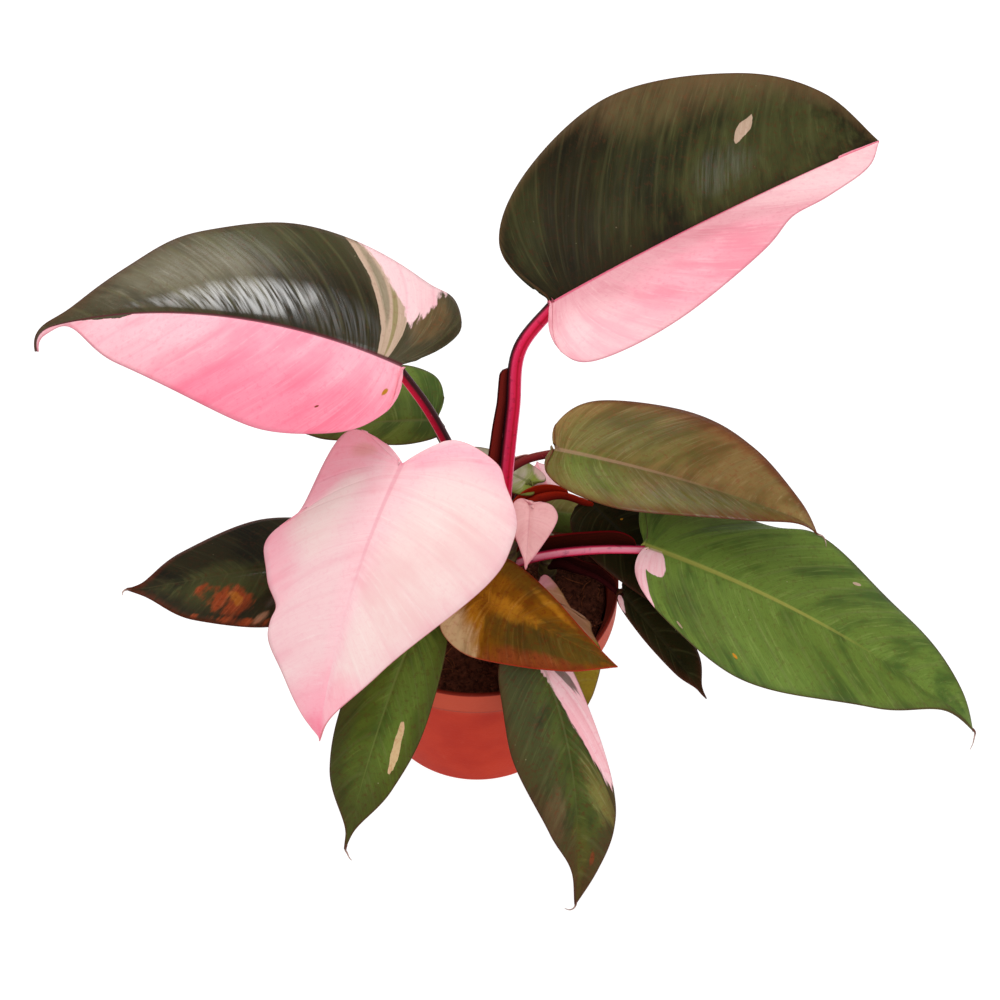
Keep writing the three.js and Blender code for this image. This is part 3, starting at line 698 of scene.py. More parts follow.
looks = {
    "upper_right": dict(
        halves=("dark", "shell"), rib=((222, 70, 112), 2.2, 0.75, 1), veins=0.09,
        margin=((92, 70, 44), 6, 0.6), gloss=0.06, cloud=30,
        shine=(((0.735, 0.33), (0.05, 0.16), 0.22), ((0.4, 0.5), (0.2, 0.4), 0.04)),
        patches=(wash("umber", (0.66, 1.0), (0.26, 0.26), rag=0.8, side=0, strength=0.85),
                 wash("moss", (0.78, 0.45), (0.16, 0.45), rag=1.2, side=0, strength=0.9),
                 wash("moss", (0.55, 0.6), (0.1, 0.5), rag=1.2, side=0, strength=0.4),
                 wash("moss", (0.22, 0.6), (0.06, 0.4), rag=1.2, side=0, strength=0.4),
                 wash("petal", (0.3, -0.75), (0.14, 0.5), side=1, strength=0.8),
                 spot("petal", (0.9, -0.5), (0.14, 1.4), soft=0.9, side=1, strength=0.9),
                 wash("rose", (0.55, -0.75), (0.14, 0.4), side=1, rag=0.8, strength=0.5),
                 spot("beige", (0.768, 0.59), (0.012, 0.1), lean=0.08, rag=0.7, square=1.4))),
    "upper_left": dict(
        halves=("rose", "bronze"), rib=((84, 34, 40), 1.0, 0.9, None), veins=0.16,
        margin=((92, 62, 42), 3, 0.5), gloss=0.1, cloud=24,
        shine=(((0.58, -0.24), (0.19, 0.18), 1.2), ((0.43, -0.14), (0.07, 0.14), 0.8),
               ((0.62, -0.8), (0.16, 0.3), 0.16), ((0.22, -0.55), (0.03, 0.4), 0.3)),
        patches=(wash("candy", (0.42, 0.9), (0.34, 0.5), side=0),
                 wash("blush", (0.85, 0.7), (0.2, 0.9), side=0, strength=0.6),
                 wash("dark", (0.52, -0.2), (0.22, 0.36), side=1, rag=1.0, strength=0.7),
                 wash("dark", (0.41, -0.45), (0.05, 0.6), side=1, rag=0.6, strength=0.7),
                 # the pewter wash near the edge of the dark half is a painted sheen
                 wash("pewter", (0.68, -0.7), (0.12, 0.4), side=1, rag=0.8, strength=0.65),
                 wash("moss", (0.5, -0.9), (0.12, 0.3), side=1, rag=1.0, strength=0.5),
                 spot("beige", (0.308, -0.45), (0.048, 1.2), side=1, rag=0.3),
                 spot("umber", (0.2, -0.6), (0.05, 0.3), side=1, rag=0.8, soft=0.9),
                 spot("olive", (0.302, -0.3), (0.009, 0.35), side=1, rag=0.6, soft=0.6,
                      strength=0.7),
                 spot("pewter", (0.33, -0.6), (0.012, 0.35), side=1, rag=0.8, soft=0.6,
                      strength=0.7),
                 spot("petal", (0.252, -1.0), (0.074, 0.62), side=1, rag=0.4, square=1.2),
                 spot("gold", (0.203, 0.39), (0.012, 0.05), rag=0.8, soft=0.5),
                 spot("rust", (0.38, 0.66), (0.004, 0.015), rag=0.8, soft=0.5),
                 spot("bronze", (0.87, 0.1), (0.05, 0.22), side=0, rag=1.0))),
    "front_pink": dict(
        halves=("petal", "petal"), rib=((226, 112, 138), 1.1, 0.32, None), ribFade=(0.7, 0.1),
        mottle=0.3, veins=0.07, edge=((150, 60, 50), (196, 96, 96)), edgeWidth=0.3, cloud=26,
        patches=(wash("blush", (0.2, -0.4), (0.22, 1.2), rag=0.7, strength=0.9),
                 wash("rose", (0.15, -0.75), (0.14, 0.6), rag=0.7, strength=0.7),
                 wash("rose", (0.25, 0.5), (0.1, 0.6), rag=0.7, strength=0.8),
                 wash("rose", (0.4, -0.95), (0.24, 0.3), rag=0.5, strength=0.7),
                 wash("rose", (0.22, 0.02), (0.34, 0.17), rag=0.6, strength=0.75),
                 wash("blush", (0.6, 0.0), (0.4, 0.2), rag=0.5),
                 wash("ivory", (0.6, 0.55), (0.3, 0.42), rag=0.4, strength=0.7),
                 wash("ivory", (0.45, -0.55), (0.14, 0.25), rag=0.6, strength=0.7),
                 wash("rose", (1.0, 0.0), (0.09, 2.0), lean=-0.1, side=0, strength=0.7),
                 wash("rose", (1.0, 0.0), (0.12, 1.4), side=1),
                 wash("candy", (1.0, 0.0), (0.05, 1.4), strength=0.8),
                 wash("gold", (0.19, -0.55), (0.03, 0.16), rag=1.0, strength=0.25))),
    "right_upper": dict(
        halves=("chestnut", "olive"), rib=((164, 134, 104), 1.2, 0.7, None),
        ribFade=(0.75, 0.2), veins=0.16, edge=((96, 34, 20), None),
        margin=((104, 48, 24), 4, 0.8), cloud=30, gloss=0.12,
        shine=(((0.47, -0.6), (0.12, 0.35), 0.85), ((0.68, -0.6), (0.12, 0.4), 0.7),
               ((0.42, 0.5), (0.14, 0.5), 0.3)),
        patches=(wash("olive", (0.42, 0.3), (0.24, 0.45), rag=1.4),
                 wash("fern", (0.4, -0.35), (0.14, 0.35), rag=1.2, strength=0.7),
                 wash("umber", (0.75, -0.2), (0.25, 0.3), rag=1.2, strength=0.35),
                 wash("rust", (0.62, 1.0), (0.3, 0.16), rag=1.4, strength=0.5))),
    "right_lower": dict(
        halves=("fern", "fern"), rib=((156, 152, 72), 1.5, 0.75, None), ribFade=(0.7, 0.4),
        veins=0.16, margin=((62, 58, 36), 2.5, 0.4), cloud=30, gloss=0.12, mottle=0.4,
        shine=(((0.34, 0.3), (0.1, 0.4), 0.05), ((0.5, -0.5), (0.12, 0.4), 0.05)),
        # the first green wash is painted shadow: it darkens the top corner by the base, under the
        # right_upper leaf
        patches=(wash("green", (0.2, 0.9), (0.1, 0.4), rag=0.9, strength=0.6),
                 wash("green", (0.66, 0.45), (0.2, 0.4), rag=1.5, strength=0.3),
                 wash("green", (0.8, -0.5), (0.25, 0.5), rag=1.5, strength=0.4),
                 wash("moss", (0.42, -0.6), (0.08, 0.3), rag=1.5, strength=0.3),
                 spot("blush", (0.26, -0.18), (0.115, 0.23), side=1, rag=0.2, square=2.5),
                 spot("blush", (0.1, -0.68), (0.165, 0.55), side=1, rag=0.2, square=4),
                 spot("beige", (0.354, -0.85), (0.006, 0.03), rag=0.5),
                 spot("beige", (0.627, 0.85), (0.006, 0.03), rag=0.5),
                 spot("gold", (0.479, -0.81), (0.004, 0.02), rag=0.5))),
    "left": dict(
        halves=("dark", "dark"), rib=((70, 62, 38), 1.0, 0.35, None),
        margin=((100, 40, 26), 2.0, 0.6), gloss=0.05, veins=0.03,
        shine=(((0.62, 0.16), (0.08, 0.08), 0.3), ((0.53, 0.6), (0.03, 0.1), 0.5)),
        patches=(wash("moss", (0.75, 0.2), (0.16, 0.5), rag=1.2, strength=0.7),
                 spot("rust", (0.69, 0.62), (0.065, 0.3), lean=-0.2, rag=3.0, soft=0.8),
                 spot("gold", (0.68, 0.55), (0.02, 0.12), lean=-0.2, rag=3.0, soft=0.8,
                      strength=0.3),
                 spot("rust", (0.6, 0.93), (0.12, 0.07), rag=3.0, soft=0.6),
                 # the tan spot beside the rust blotch is a painted highlight in a brown-beige tone
                 spot("tan", (0.535, 0.88), (0.02, 0.1), rag=2.0, soft=0.8, strength=0.7))),
    "front_left": dict(
        halves=("green", "green"), margin=((60, 52, 24), 7, 0.6), mottle=0.6, veins=0.14,
        rib=((112, 122, 60), 0.7, 0.6, None), ribFade=(0.9, 0.5),
        patches=(wash("fern", (0.6, 0.3), (0.3, 0.4), rag=1.2, strength=0.45),
                 wash("moss", (0.45, -0.95), (0.45, 0.4), rag=0.8, strength=0.6),
                 wash("moss", (0.92, 0.0), (0.16, 1.4), rag=0.8, strength=0.5),
                 spot("cream", (0.68, 0.66), (0.04, 0.13), lean=0.18, rag=0.9))),
    "front_right": dict(
        halves=("moss", "moss"), margin=((80, 50, 28), 6, 0.6), mottle=0.7, veins=0.14,
        rib=((104, 108, 64), 0.7, 0.3, None), ribFade=(0.8, 0.4),
        patches=(wash("green", (0.62, 0.2), (0.3, 0.5), rag=1.5, strength=0.5),
                 spot("olive", (0.68, 0.7), (0.06, 0.4), rag=1.5, soft=0.9, strength=0.9),
                 spot("umber", (0.72, -0.75), (0.05, 0.3), rag=1.5, soft=0.9, strength=0.7),
                 wash("sienna", (0.95, 0.0), (0.14, 1.4), rag=1.0, strength=0.5),
                 spot("rust", (0.86, 0.64), (0.02, 0.1), rag=1.5, soft=0.5, strength=0.8),
                 spot("blush", (0.18, 0.47), (0.42, 0.62), rag=0.35, square=3),
                 spot("bronze", (0.3, 0.42), (0.05, 0.4), lean=-0.1, rag=0.8, soft=0.3,
                      strength=0.8))),
    "centre": dict(
        halves=("ochre", "ochre"), rib=((150, 86, 30), 0.7, 0.15, None), mottle=0.6,
        edge=((176, 44, 30), None), margin=((120, 40, 14), 2.5, 0.6), veins=0.05, cloud=60, gloss=0.03,
        patches=(wash("sienna", (0.72, -0.5), (0.24, 0.6), rag=1.4),
                 wash("sienna", (0.92, 0.2), (0.2, 0.9), rag=1.4),
                 wash("sienna", (0.45, 0.9), (0.2, 0.3), rag=1.4, strength=0.6),
                 wash("gold", (0.56, 0.04), (0.18, 0.22), rag=2.4, strength=0.6),
                 wash("gold", (0.66, 0.8), (0.1, 0.1), rag=1.6, strength=0.5),
                 wash("sienna", (0.47, -0.35), (0.07, 0.2), rag=1.6, strength=0.5),
                 wash("gold", (0.35, -0.5), (0.06, 0.4), lean=-0.1, rag=2.0, strength=0.7),
                 wash("rust", (0.64, -0.88), (0.2, 0.2), rag=1.6, strength=0.8),
                 wash("cream", (0.25, -0.92), (0.13, 0.5), rag=1.6, strength=0.95))),
    "back_left": dict(halves=("fern", "fern"), margin=((84, 60, 36), 3, 0.5)),
    "right_small": dict(
        halves=("dark", "dark"), margin=((80, 34, 22), 2.5, 0.5), gloss=0.06,
        rib=((60, 54, 34), 0.8, 0.3, None),
        patches=(spot("blush", (0.16, -0.6), (0.07, 0.4), side=1, rag=0.6),)),
    "behind_right": dict(
        halves=("dark", "dark"), margin=((60, 28, 18), 3, 0.5), gloss=0.06,
        rib=((50, 44, 24), 0.8, 0.3, None),
        patches=(spot("gold", (0.473, 0.14), (0.005, 0.025)),)),
    "pink_heart": dict(halves=("dusty", "dusty"), rib=((206, 128, 136), 0.5, 0.3, None)),
    "back_small": dict(
        halves=("leaf", "leaf"),
        patches=(spot("ash", (0.8, 0.0), (0.45, 1.4), rag=1.0, soft=0.9),
                 spot("petal", (0.23, -0.9), (0.1, 0.4), rag=1.0, soft=0.6, strength=0.7))),
    "back_pink": dict(
        halves=("coral", "blush"), rib=((236, 150, 166), 0.6, 0.4, None),
        patches=(spot("petal", (0.5, 0.7), (0.4, 0.5), soft=0.9, side=0),)),
    "back_low": dict(halves=("olive", "green"), edge=((130, 50, 36), None)),
    "front_small": dict(
        halves=("lime", "lime"), margin=((132, 100, 40), 2, 0.3),
        patches=(spot("tan", (0.38, 0.1), (0.26, 1.4), rag=0.9, soft=0.3),
                 spot("mauve", (0.05, 0.0), (0.15, 1.4), rag=0.6, soft=0.4))),
}


# noises drawn out along the side veins: how fine along the margin and across, the shift of
# the seed, the detail and the roughness
veinNoises = {
    "streaks": (130, 2.2, 0, 4.0, 0.7),
    "fibres": (420, 5, 5, 2.0, 0.7),
    "bands": (22, 1.2, 3, 3.0, 0.55),
    "ragged": (60, 5, 7, 3.0, 0.5),
}
# how the tones of a tissue blend: where each noise starts to show and is full, and how strong
blend = {"base": (0.74, 1.1), "pale": (0.5, 0.78), "paleShare": 0.6, "fibre": (0.52, 0.7),
         "fibreShare": 0.35, "mottle": (0.5, 0.68)}
leafTones = {
    "vein": (118, 116, 74), "pinkVein": (236, 120, 150), "speck": (190, 178, 140),
    "underPink": (250, 214, 214), "underRib": (120, 50, 60), "underPinkRib": (240, 150, 170),
}


class LeafPaint(Paint):
    # what every layer of a leaf shares: its surface values, noises and patches
    def __init__(self, name, layer, seed):
        super().__init__(f"{layer}_{name}")
        self.look = {**plainLook, **looks.get(name, {})}
        self.trim = {**plainTrim, **trims.get(name, {})}
        self.size = leaves[name]["length"] / blade["usualLength"]
        self.seed = seed
        self.along, across = self.surface()
        self.reach = across * 2 - 1
        self.left = self.reach.rise(-0.004, 0.004)
        self.fromRib, self.fromEdge, self.fromBase = [self.marks(mark) for mark in bladeMarks]
        self.clouds = self.noise(self.place(), self.look["cloud"], 3.0)
        self.grains = self.noise(self.place(), 560, 4.0, 0.7)
        self.streaks, self.fibres, self.bands, self.ragged = [
            self.veinNoise(*settings) for settings in veinNoises.values()]

    def veinNoise(self, fine, wide, shift, detail, rough):
        along = self.along * fine * self.size
        across = self.reach * wide * self.size
        return self.noise(self.vector(along, across, self.seed + shift), 1.0, detail, rough)

    def ribLine(self, wide, narrow):  # a line along the midrib that thins towards the tip
        return (self.fromRib / (1.15 - self.fromBase)).rise(wide, narrow)

    def edgeTone(self, pink):
        darkEdge, pinkEdge = self.look["edge"]
        return self.mix(pink, tone(*darkEdge), tone(*(pinkEdge or darkEdge)))

    def tissue(self, kind):
        deep, base, pale, mottle = [tone(*rgb) for rgb in tissues[kind]]
        colour = self.mix((self.clouds + self.bands).rise(*blend["base"]), deep, base)
        streaked = self.streaks.rise(*blend["pale"]) * blend["paleShare"]
        colour = self.mix(streaked, colour, pale)
        fibrous = self.fibres.rise(*blend["fibre"]) * blend["fibreShare"]
        colour = self.mix(fibrous, colour, deep)
        return self.mix(self.grains.rise(*blend["mottle"]) * self.look["mottle"], colour, mottle)

    def patchMask(self, patch):
        (along, reach), (long, wide) = patch["at"], patch["size"]
        aside = self.reach - reach
        ahead = (self.along - along - aside * patch.get("lean", 0)) / long
        power = patch.get("square", 2)
        spread = abs(ahead) ** power + abs(aside / wide) ** power
        spread = spread + (self.ragged - 0.5) * patch.get("rag", 0) * 2
        soft = patch.get("soft", 0.06)
        mask = spread.rise(1 + soft, 1 - soft) * patch.get("strength", 1)
        if patch.get("side") == 0:
            mask = mask * self.left
        if patch.get("side") == 1:
            mask = mask * (1 - self.left)
        return mask

    def pattern(self):
        # the leaf's colour, how pink it is and how rough
        left, right = self.look["halves"]
        colour = self.mix(self.left, self.tissue(right), self.tissue(left))
        leftPink, rightPink = [float(kind in pinkTissues) for kind in (left, right)]
        pink = self.left * (leftPink - rightPink) + rightPink
        leftRough, rightRough = [roughness.get(kind, 0.5) for kind in (left, right)]
        rough = self.left * (leftRough - rightRough) + rightRough
        for patch in self.look["patches"]:
            mask = self.patchMask(patch)
            kind = patch["tissue"]
            colour = self.mix(mask, colour, self.tissue(kind))
            pink = pink + (float(kind in pinkTissues) - pink) * mask
            rough = rough + (roughness.get(kind, 0.5) - rough) * mask
        return colour, pink, rough


def makeShine(top):  # a coat in the glossy places of a leaf, or none
    coat = None
    for at, size, strength in top.look["shine"]:
        place = top.vector(top.along * 150, top.reach * 2.5, top.seed + 9)
        streaks = top.noise(place, 1.0, 3.0, 0.6).rise(0.35, 0.65)
        gleam = top.patchMask(wash(None, at, size, rag=0.3)) * streaks * strength
        coat = gleam if coat is None else coat + gleam
    return coat


def makeTopPaint(name, seed):
    top = LeafPaint(name, "top", seed)
    look = top.look
    colour, pink, rough = top.pattern()
    vein = abs((top.along * top.trim["veins"]).math("FRACT") - 0.5)
    veinLine = vein.rise(0.4, 0.5) * abs(top.reach).rise(0.02, 0.2) * look["veins"]
    veinTone = top.mix(pink, tone(*leafTones["vein"]), tone(*leafTones["pinkVein"]))
    colour = top.mix(veinLine, colour, veinTone)
    marginTone, width, strength = look["margin"]
    margin = top.fromEdge.rise(width, 0) * strength * (1 - pink)
    colour = top.mix(margin * top.streaks.rise(0.2, 0.6), colour, tone(*marginTone))
    ribTone, ribWidth, ribStrength, ribSide = look["rib"]
    ribLine = top.ribLine(ribWidth, ribWidth * 0.4) * top.fromBase.rise(*look["ribFade"])
    if ribSide is not None:
        ribLine = ribLine * (top.left if ribSide == 0 else 1 - top.left)
    colour = top.mix(ribLine * ribStrength, colour, tone(*ribTone))
    edgeLine = top.fromEdge.rise(look["edgeWidth"], look["edgeWidth"] * 0.3)
    colour = top.mix(edgeLine * 0.6, colour, top.edgeTone(pink))
    specks = top.cells(top.place(), 260).rise(0.09, 0.02) * top.clouds.rise(0.6, 0.7)
    specks = specks * look["specks"] * (1 - pink * 0.8)
    colour = top.mix(specks, colour, tone(*leafTones["speck"]))
    fine = top.noise(top.place(), 900, 2.0)
    rough = rough + (fine - 0.5) * 0.2
    height = top.streaks * 0.5 + fine * 0.25 - vein.rise(0.42, 0.5) * 0.4
    return top.finish(colour, rough, height, 0.00012, look["gloss"], makeShine(top))


def makeUnderPaint(name, seed):
    under = LeafPaint(name, "under", seed)
    colour, pink = under.pattern()[:2]
    shaded = under.mix(0.6, colour, tone(*under.look["under"]))
    paler = under.mix(0.35, colour, tone(*leafTones["underPink"]))
    colour = under.mix(pink, shaded, paler)
    ribTone = under.mix(pink, tone(*leafTones["underRib"]), tone(*leafTones["underPinkRib"]))
    colour = under.mix(under.ribLine(1.6, 0.8) * 0.7, colour, ribTone)
    return under.finish(colour, 0.6, under.streaks, 0.00012, 0.1)


def makeRimPaint(name, seed):
    rim = LeafPaint(name, "rim", seed)
    colour, pink = rim.pattern()[:2]
    return rim.finish(rim.mix(0.6, colour, rim.edgeTone(pink)), 0.5, gloss=0.1)


# Petioles: stops are the colours round each one, from its right or lower side by the front to
# its left or top and on round the back. A sheath is a wing that stands off the petiole
# between two shares of its length: its width in mm, the turn it stands at, how round its two
# ends are, how far it curls to the front, and its colours at the foot, middle and edge.
plainSheath = dict(start=0, end=0.3, width=1.6, turn=0.42, round=(0.02, 0.5), curl=0.35,
                   taper=0.0, thickness=0.7, wave=0.05, columns=60, rows=8,
                   tones=((58, 14, 20), (66, 16, 20), (130, 40, 44)))
plainStalk = dict(stops=((0, (130, 22, 44)), (0.25, (96, 20, 34)), (0.5, (56, 18, 24)),
                         (0.75, (80, 20, 30)), (1, (130, 22, 44))),
                  flare=1.5, flareTo=0.18, taper=0.82, groove=0.12, grooveTurn=0.3,
                  joinAhead=2.4, joinBelow=0.7, mottling=(40, 12, 18), fleck=(226, 130, 150),
                  flecks=0.2, gloss=0.08, sheath={})
stalks = {
    "upper_right": dict(
        stops=((0, (232, 104, 146)), (0.06, (238, 118, 156)), (0.09, (196, 18, 58)),
               (0.14, (206, 24, 66)), (0.19, (168, 8, 34)), (0.22, (206, 24, 66)),
               (0.32, (214, 50, 92)), (0.36, (120, 10, 34)), (0.4, (44, 14, 20)),
               (0.6, (34, 14, 18)), (0.85, (90, 16, 34)), (1, (232, 104, 146))), flare=1.3,
        sheath=dict(start=0.12, end=0.665, width=6.4, turn=0.5, round=(0.1, 0.05), curl=0.3,
                    taper=0.55, tones=((62, 14, 12), (108, 30, 24), (60, 16, 14)))),
    "upper_left": dict(
        stops=((0, (196, 140, 142)), (0.04, (60, 16, 24)), (0.22, (52, 16, 22)),
               (0.27, (150, 10, 40)), (0.42, (206, 16, 56)), (0.47, (232, 150, 162)),
               (0.53, (210, 120, 136)), (0.6, (120, 14, 36)), (0.9, (60, 16, 24)),
               (1, (196, 140, 142))), sheath=dict(end=0.4, width=2.2)),
    "front_pink": dict(sheath=dict(end=0.4, width=2.2)),
    "right_lower": dict(
        stops=((0, (204, 20, 62)), (0.1, (206, 26, 70)), (0.15, (232, 110, 140)),
               (0.3, (240, 160, 178)), (0.36, (206, 36, 80)), (0.42, (84, 12, 30)),
               (0.6, (60, 14, 26)), (0.85, (150, 16, 46)), (1, (204, 20, 62))),
        sheath=dict(start=0.33, end=0.93, width=5.6, turn=0.5, round=(0.06, 0.2), curl=0.25,
                    tones=((34, 8, 4), (50, 14, 8), (96, 12, 16)))),
    "right_upper": dict(
        stops=((0, (70, 14, 20)), (0.25, (122, 34, 36)), (0.5, (134, 62, 54)),
               (0.75, (90, 16, 26)), (1, (70, 14, 20))),
        sheath=dict(start=0.3, end=0.8, width=1.3, turn=0.5, round=(0.1, 0.3),
                    tones=((84, 18, 24), (120, 60, 54), (190, 140, 130)))),
    "back_left": dict(
        stops=((0, (96, 84, 50)), (0.25, (110, 80, 50)), (0.5, (84, 60, 38)),
               (0.75, (80, 64, 40)), (1, (96, 84, 50)))),
    "behind_right": dict(
        stops=((0, (58, 10, 8)), (0.25, (120, 22, 10)), (0.45, (160, 36, 16)),
               (0.6, (110, 20, 10)), (1, (58, 10, 8))), flare=3.0, flareTo=0.85, flecks=0.02,
        gloss=0.02,
        # its wing is painted lighter towards its top edge, a painted highlight, and darker at its foot
        # by the petiole, painted shade
        sheath=dict(start=0.12, end=0.82, width=5.0, turn=0.5, round=(0.2, 0.6), curl=0.3,
                    tones=((96, 16, 7), (140, 28, 9), (156, 44, 24)))),
    "right_small": dict(
        stops=((0, (36, 10, 12)), (0.25, (52, 14, 16)), (0.5, (40, 12, 12)),
               (0.75, (30, 10, 10)), (1, (36, 10, 12))), flare=2.0, flareTo=0.8, flecks=0.02,
        gloss=0.0,
        sheath=dict(start=0.1, end=0.9, width=3.4, turn=0.5, round=(0.25, 0.3),
                    tones=((36, 10, 10), (44, 14, 12), (74, 24, 20)))),
}
for name in ("back_pink", "back_small", "back_low", "pink_heart"):  # these have hardly a wing
    stalks[name] = dict(sheath={"width": 0.6})


def petiolePath(name):
    leaf = {**plainLeaf, **leaves[name]}
    foot = stems[leaf["stem"]]["foot"]
    stations = midribOf(leaf)
    base, heading, pitch = stations[0]
    outward = frameAt(leaf, stations, 0)[2]
    join = base + aheadOf(heading, pitch) * plainStalk["joinAhead"]
    join = join - outward * plainStalk["joinBelow"] * leaf["girth"]
    return [Vector((*foot, leaf["start"])), *[Vector(point) for point in leaf["via"]], join]


def makePetiole(name, seed):
    stalk = {**plainStalk, **stalks.get(name, {})}
    girth = leaves[name]["girth"]

    def reachOf(share, turn):
        flared = 1 + (stalk["flare"] - 1) * (1 - smoothStep(share, 0, stalk["flareTo"]))
        narrowed = 1 - (1 - stalk["taper"]) * share
        front = math.cos(2 * math.pi * (turn - stalk["grooveTurn"]))
        grooved = 1 - stalk["groove"] * smoothStep(front, 0.8, 1)
        return girth * flared * narrowed * grooved * (pointed if atEnd(share) else 1)

    rod = sweep("petiole_" + name, petiolePath(name), reachOf, columns=40, around=24)
    rod.data.materials.append(makePetiolePaint(name, stalk, seed))
    sheath = makeSheath(name, {**plainSheath, **stalk["sheath"]}, girth)
    return joined([rod, sheath], rod.name)


def rounded(share):  # a quarter circle's height, from 0 up to 1
    share = min(share, 1)
    return math.sqrt(share * (2 - share))


def makeSheath(name, sheath, girth):
    # a thin wing along the petiole, which starts inside the rod
    line = petiolePath(name)
    foot, tip = sheath["round"]

    def placeOf(u, v):
        share = sheath["start"] + (sheath["end"] - sheath["start"]) * u
        point = smoothLine(line, share)
        ahead = (smoothLine(line, min(share + 0.01, 1)) - smoothLine(line, share - 0.01)).normalized()
        aside = ahead.cross(facing).normalized()
        front = aside.cross(ahead).normalized()
        angle = 2 * math.pi * sheath["turn"]
        out = aside * math.cos(angle) + front * math.sin(angle)
        ends = rounded(u / foot) * rounded((1 - u) / tip)
        wave = 1 + sheath["wave"] * noise.noise(Vector((u * 6, girth, 2)))
        width = sheath["width"] * (1 - sheath["taper"] * u)
        reach = girth * 0.5 + (girth * 0.3 + width) * ends * wave * v
        curl = sheath["curl"] * sheath["width"] * (v * ends) ** 2
        return (point + out * reach + front * curl) * mm

    piece = layGrid("sheath_" + name, sheath["columns"], sheath["rows"], placeOf, closed=False)
    applied(piece, "SOLIDIFY", thickness=sheath["thickness"] * mm, offset=0, use_rim=True)
    piece.data.materials.append(makeSheathPaint(name, sheath))
    return piece


def makeSheathPaint(name, sheath):
    paint = Paint("sheath_" + name)
    along, across = paint.surface()
    foot, middle, edge = [tone(*rgb) for rgb in sheath["tones"]]
    streaks = paint.noise(paint.vector(along * 4, across * 26), 1.0, 3.0, 0.6)
    colour = paint.mix((across + (streaks - 0.5) * 0.5).rise(0.2, 0.8), foot, middle)
    colour = paint.mix(across.rise(0.9, 0.97), colour, edge)
    colour = paint.mix(streaks.rise(0.55, 0.75) * 0.35, colour, edge)
    return paint.finish(colour, 0.45 + streaks * 0.15, streaks, 0.00015, 0.0)


def makePetiolePaint(name, stalk, seed):
    paint = Paint("stalk_" + name)
    along, turn = paint.surface()
    streaks = paint.noise(paint.vector(along * 3, turn * 30, seed), 1.0, 3.0)
    stops = [(place, tone(*rgb)) for place, rgb in stalk["stops"]]
    ringed = turn + (streaks - 0.5) * 0.03
    colour = paint.add("ShaderNodeValToRGB", {"stops": stops}, [ringed])
    mottled = paint.noise(paint.place(), 400, 3.0)
    colour = paint.mix(mottled.rise(0.55, 0.75) * 0.35, colour, tone(*stalk["mottling"]))
    flecks = paint.noise(paint.vector(along * 40, turn * 14, seed), 1.0, 2.0).rise(0.66, 0.74)
    colour = paint.mix(flecks * stalk["flecks"], colour, tone(*stalk["fleck"]))
    return paint.finish(colour, 0.34 + mottled * 0.15, streaks, 0.0002, stalk["gloss"])


# A stem's foot is inside the soil, and leaf scars swell it at even steps; wear is how uneven
# it is, and dome the share of its height where its round top starts.
stemSkin = {
    "foot": 60, "scarAt": 86, "scarStep": 9, "scarWidth": 1.6, "swell": 0.12, "wear": 0.05,
    "dome": 0.9, "tones": ((58, 44, 26), (104, 92, 48)), "scar": (70, 34, 24),
}


def makeStem(name):
    stem = stems[name]
    x, y = stem["foot"]
    low, high = stemSkin["foot"], stem["top"]
    dome = stemSkin["dome"]

    def reachOf(share, turn):
        height = low + (high - low) * share
        steps = (height - stemSkin["scarAt"]) / stemSkin["scarStep"]
        away = abs(steps - round(steps)) * stemSkin["scarStep"]
        swell = 1 + stemSkin["swell"] * math.exp(-(away / stemSkin["scarWidth"]) ** 2)
        worn = 1 + stemSkin["wear"] * noise.noise(Vector((turn * 5, height * 0.2, x)))
        over = max(share - dome, 0) / (1 - dome)
        top = pointed if atEnd(share) else math.sqrt(1 - over ** 2)
        return stem["radius"] * swell * worn * top

    points = [(x, y, low), (x, y, (low + high) / 2), (x, y, high)]
    return sweep("stem_" + name, points, reachOf, columns=60, around=28)


def makeStemPaint():
    paint = Paint("stemSkin")
    place = paint.place()
    height = paint.add("ShaderNodeSeparateXYZ", None, [place], 2)
    mottled = paint.noise(place, 220, 4.0)
    brown, green = [tone(*rgb) for rgb in stemSkin["tones"]]
    colour = paint.mix(mottled.rise(0.35, 0.65), brown, green)
    steps = (height - stemSkin["scarAt"] * mm) / (stemSkin["scarStep"] * mm)
    ring = abs(steps.math("FRACT") - 0.5).rise(0.4, 0.48)
    colour = paint.mix(ring * 0.7, colour, tone(*stemSkin["scar"]))
    return paint.finish(colour, 0.5, mottled + ring, 0.0004, 0.4)


pot = {
    "height": 88, "rim": 60, "base": 43, "wall": 1.3, "floor": 1.8, "collar": 14,
    "collarStep": 1.6, "lip": 0.8, "lipInside": 0.3, "ledge": 80, "holes": 8,
    "holeRadius": 4, "holeCircle": 29, "footRound": 1.2, "sides": 128,
    # paler is a painted reflection on the collar band
    # step is painted shade on the underside of the collar's edge
    "tones": ((178, 40, 18), (190, 50, 24)), "paler": (196, 86, 62), "step": (162, 56, 36),
    # inside is painted shade on the inner wall
    # lipTone is painted shade along the lip
    "lipTone": (104, 20, 10), "inside": (102, 32, 20), "dust": (214, 130, 106),
}
soil = {
    "bottom": 2.3, "edgeHeight": 78, "crown": 5, "radius": 54, "lumps": 1.1, "lumpScale": 0.16,
    "gap": 0.35, "rings": 34, "sides": 96, "crumbs": 900, "fibres": 130, "spread": 53.5,
    "edgeInset": 0.6, "seed": 11,
}
# each with its deep, middle and pale tone and how fine its grains are
soilLooks = {
    "peatGround": ((56, 26, 17), (100, 54, 38), (140, 88, 62), 500),
    "peatCrumbs": ((62, 30, 20), (112, 64, 45), (154, 98, 70), 700),
    "peatFibres": ((104, 54, 32), (150, 88, 54), (186, 122, 78), 500),
}


def wallRadius(height):
    slope = (pot["rim"] - pot["collarStep"] - pot["base"]) / pot["height"]
    return pot["base"] + slope * height


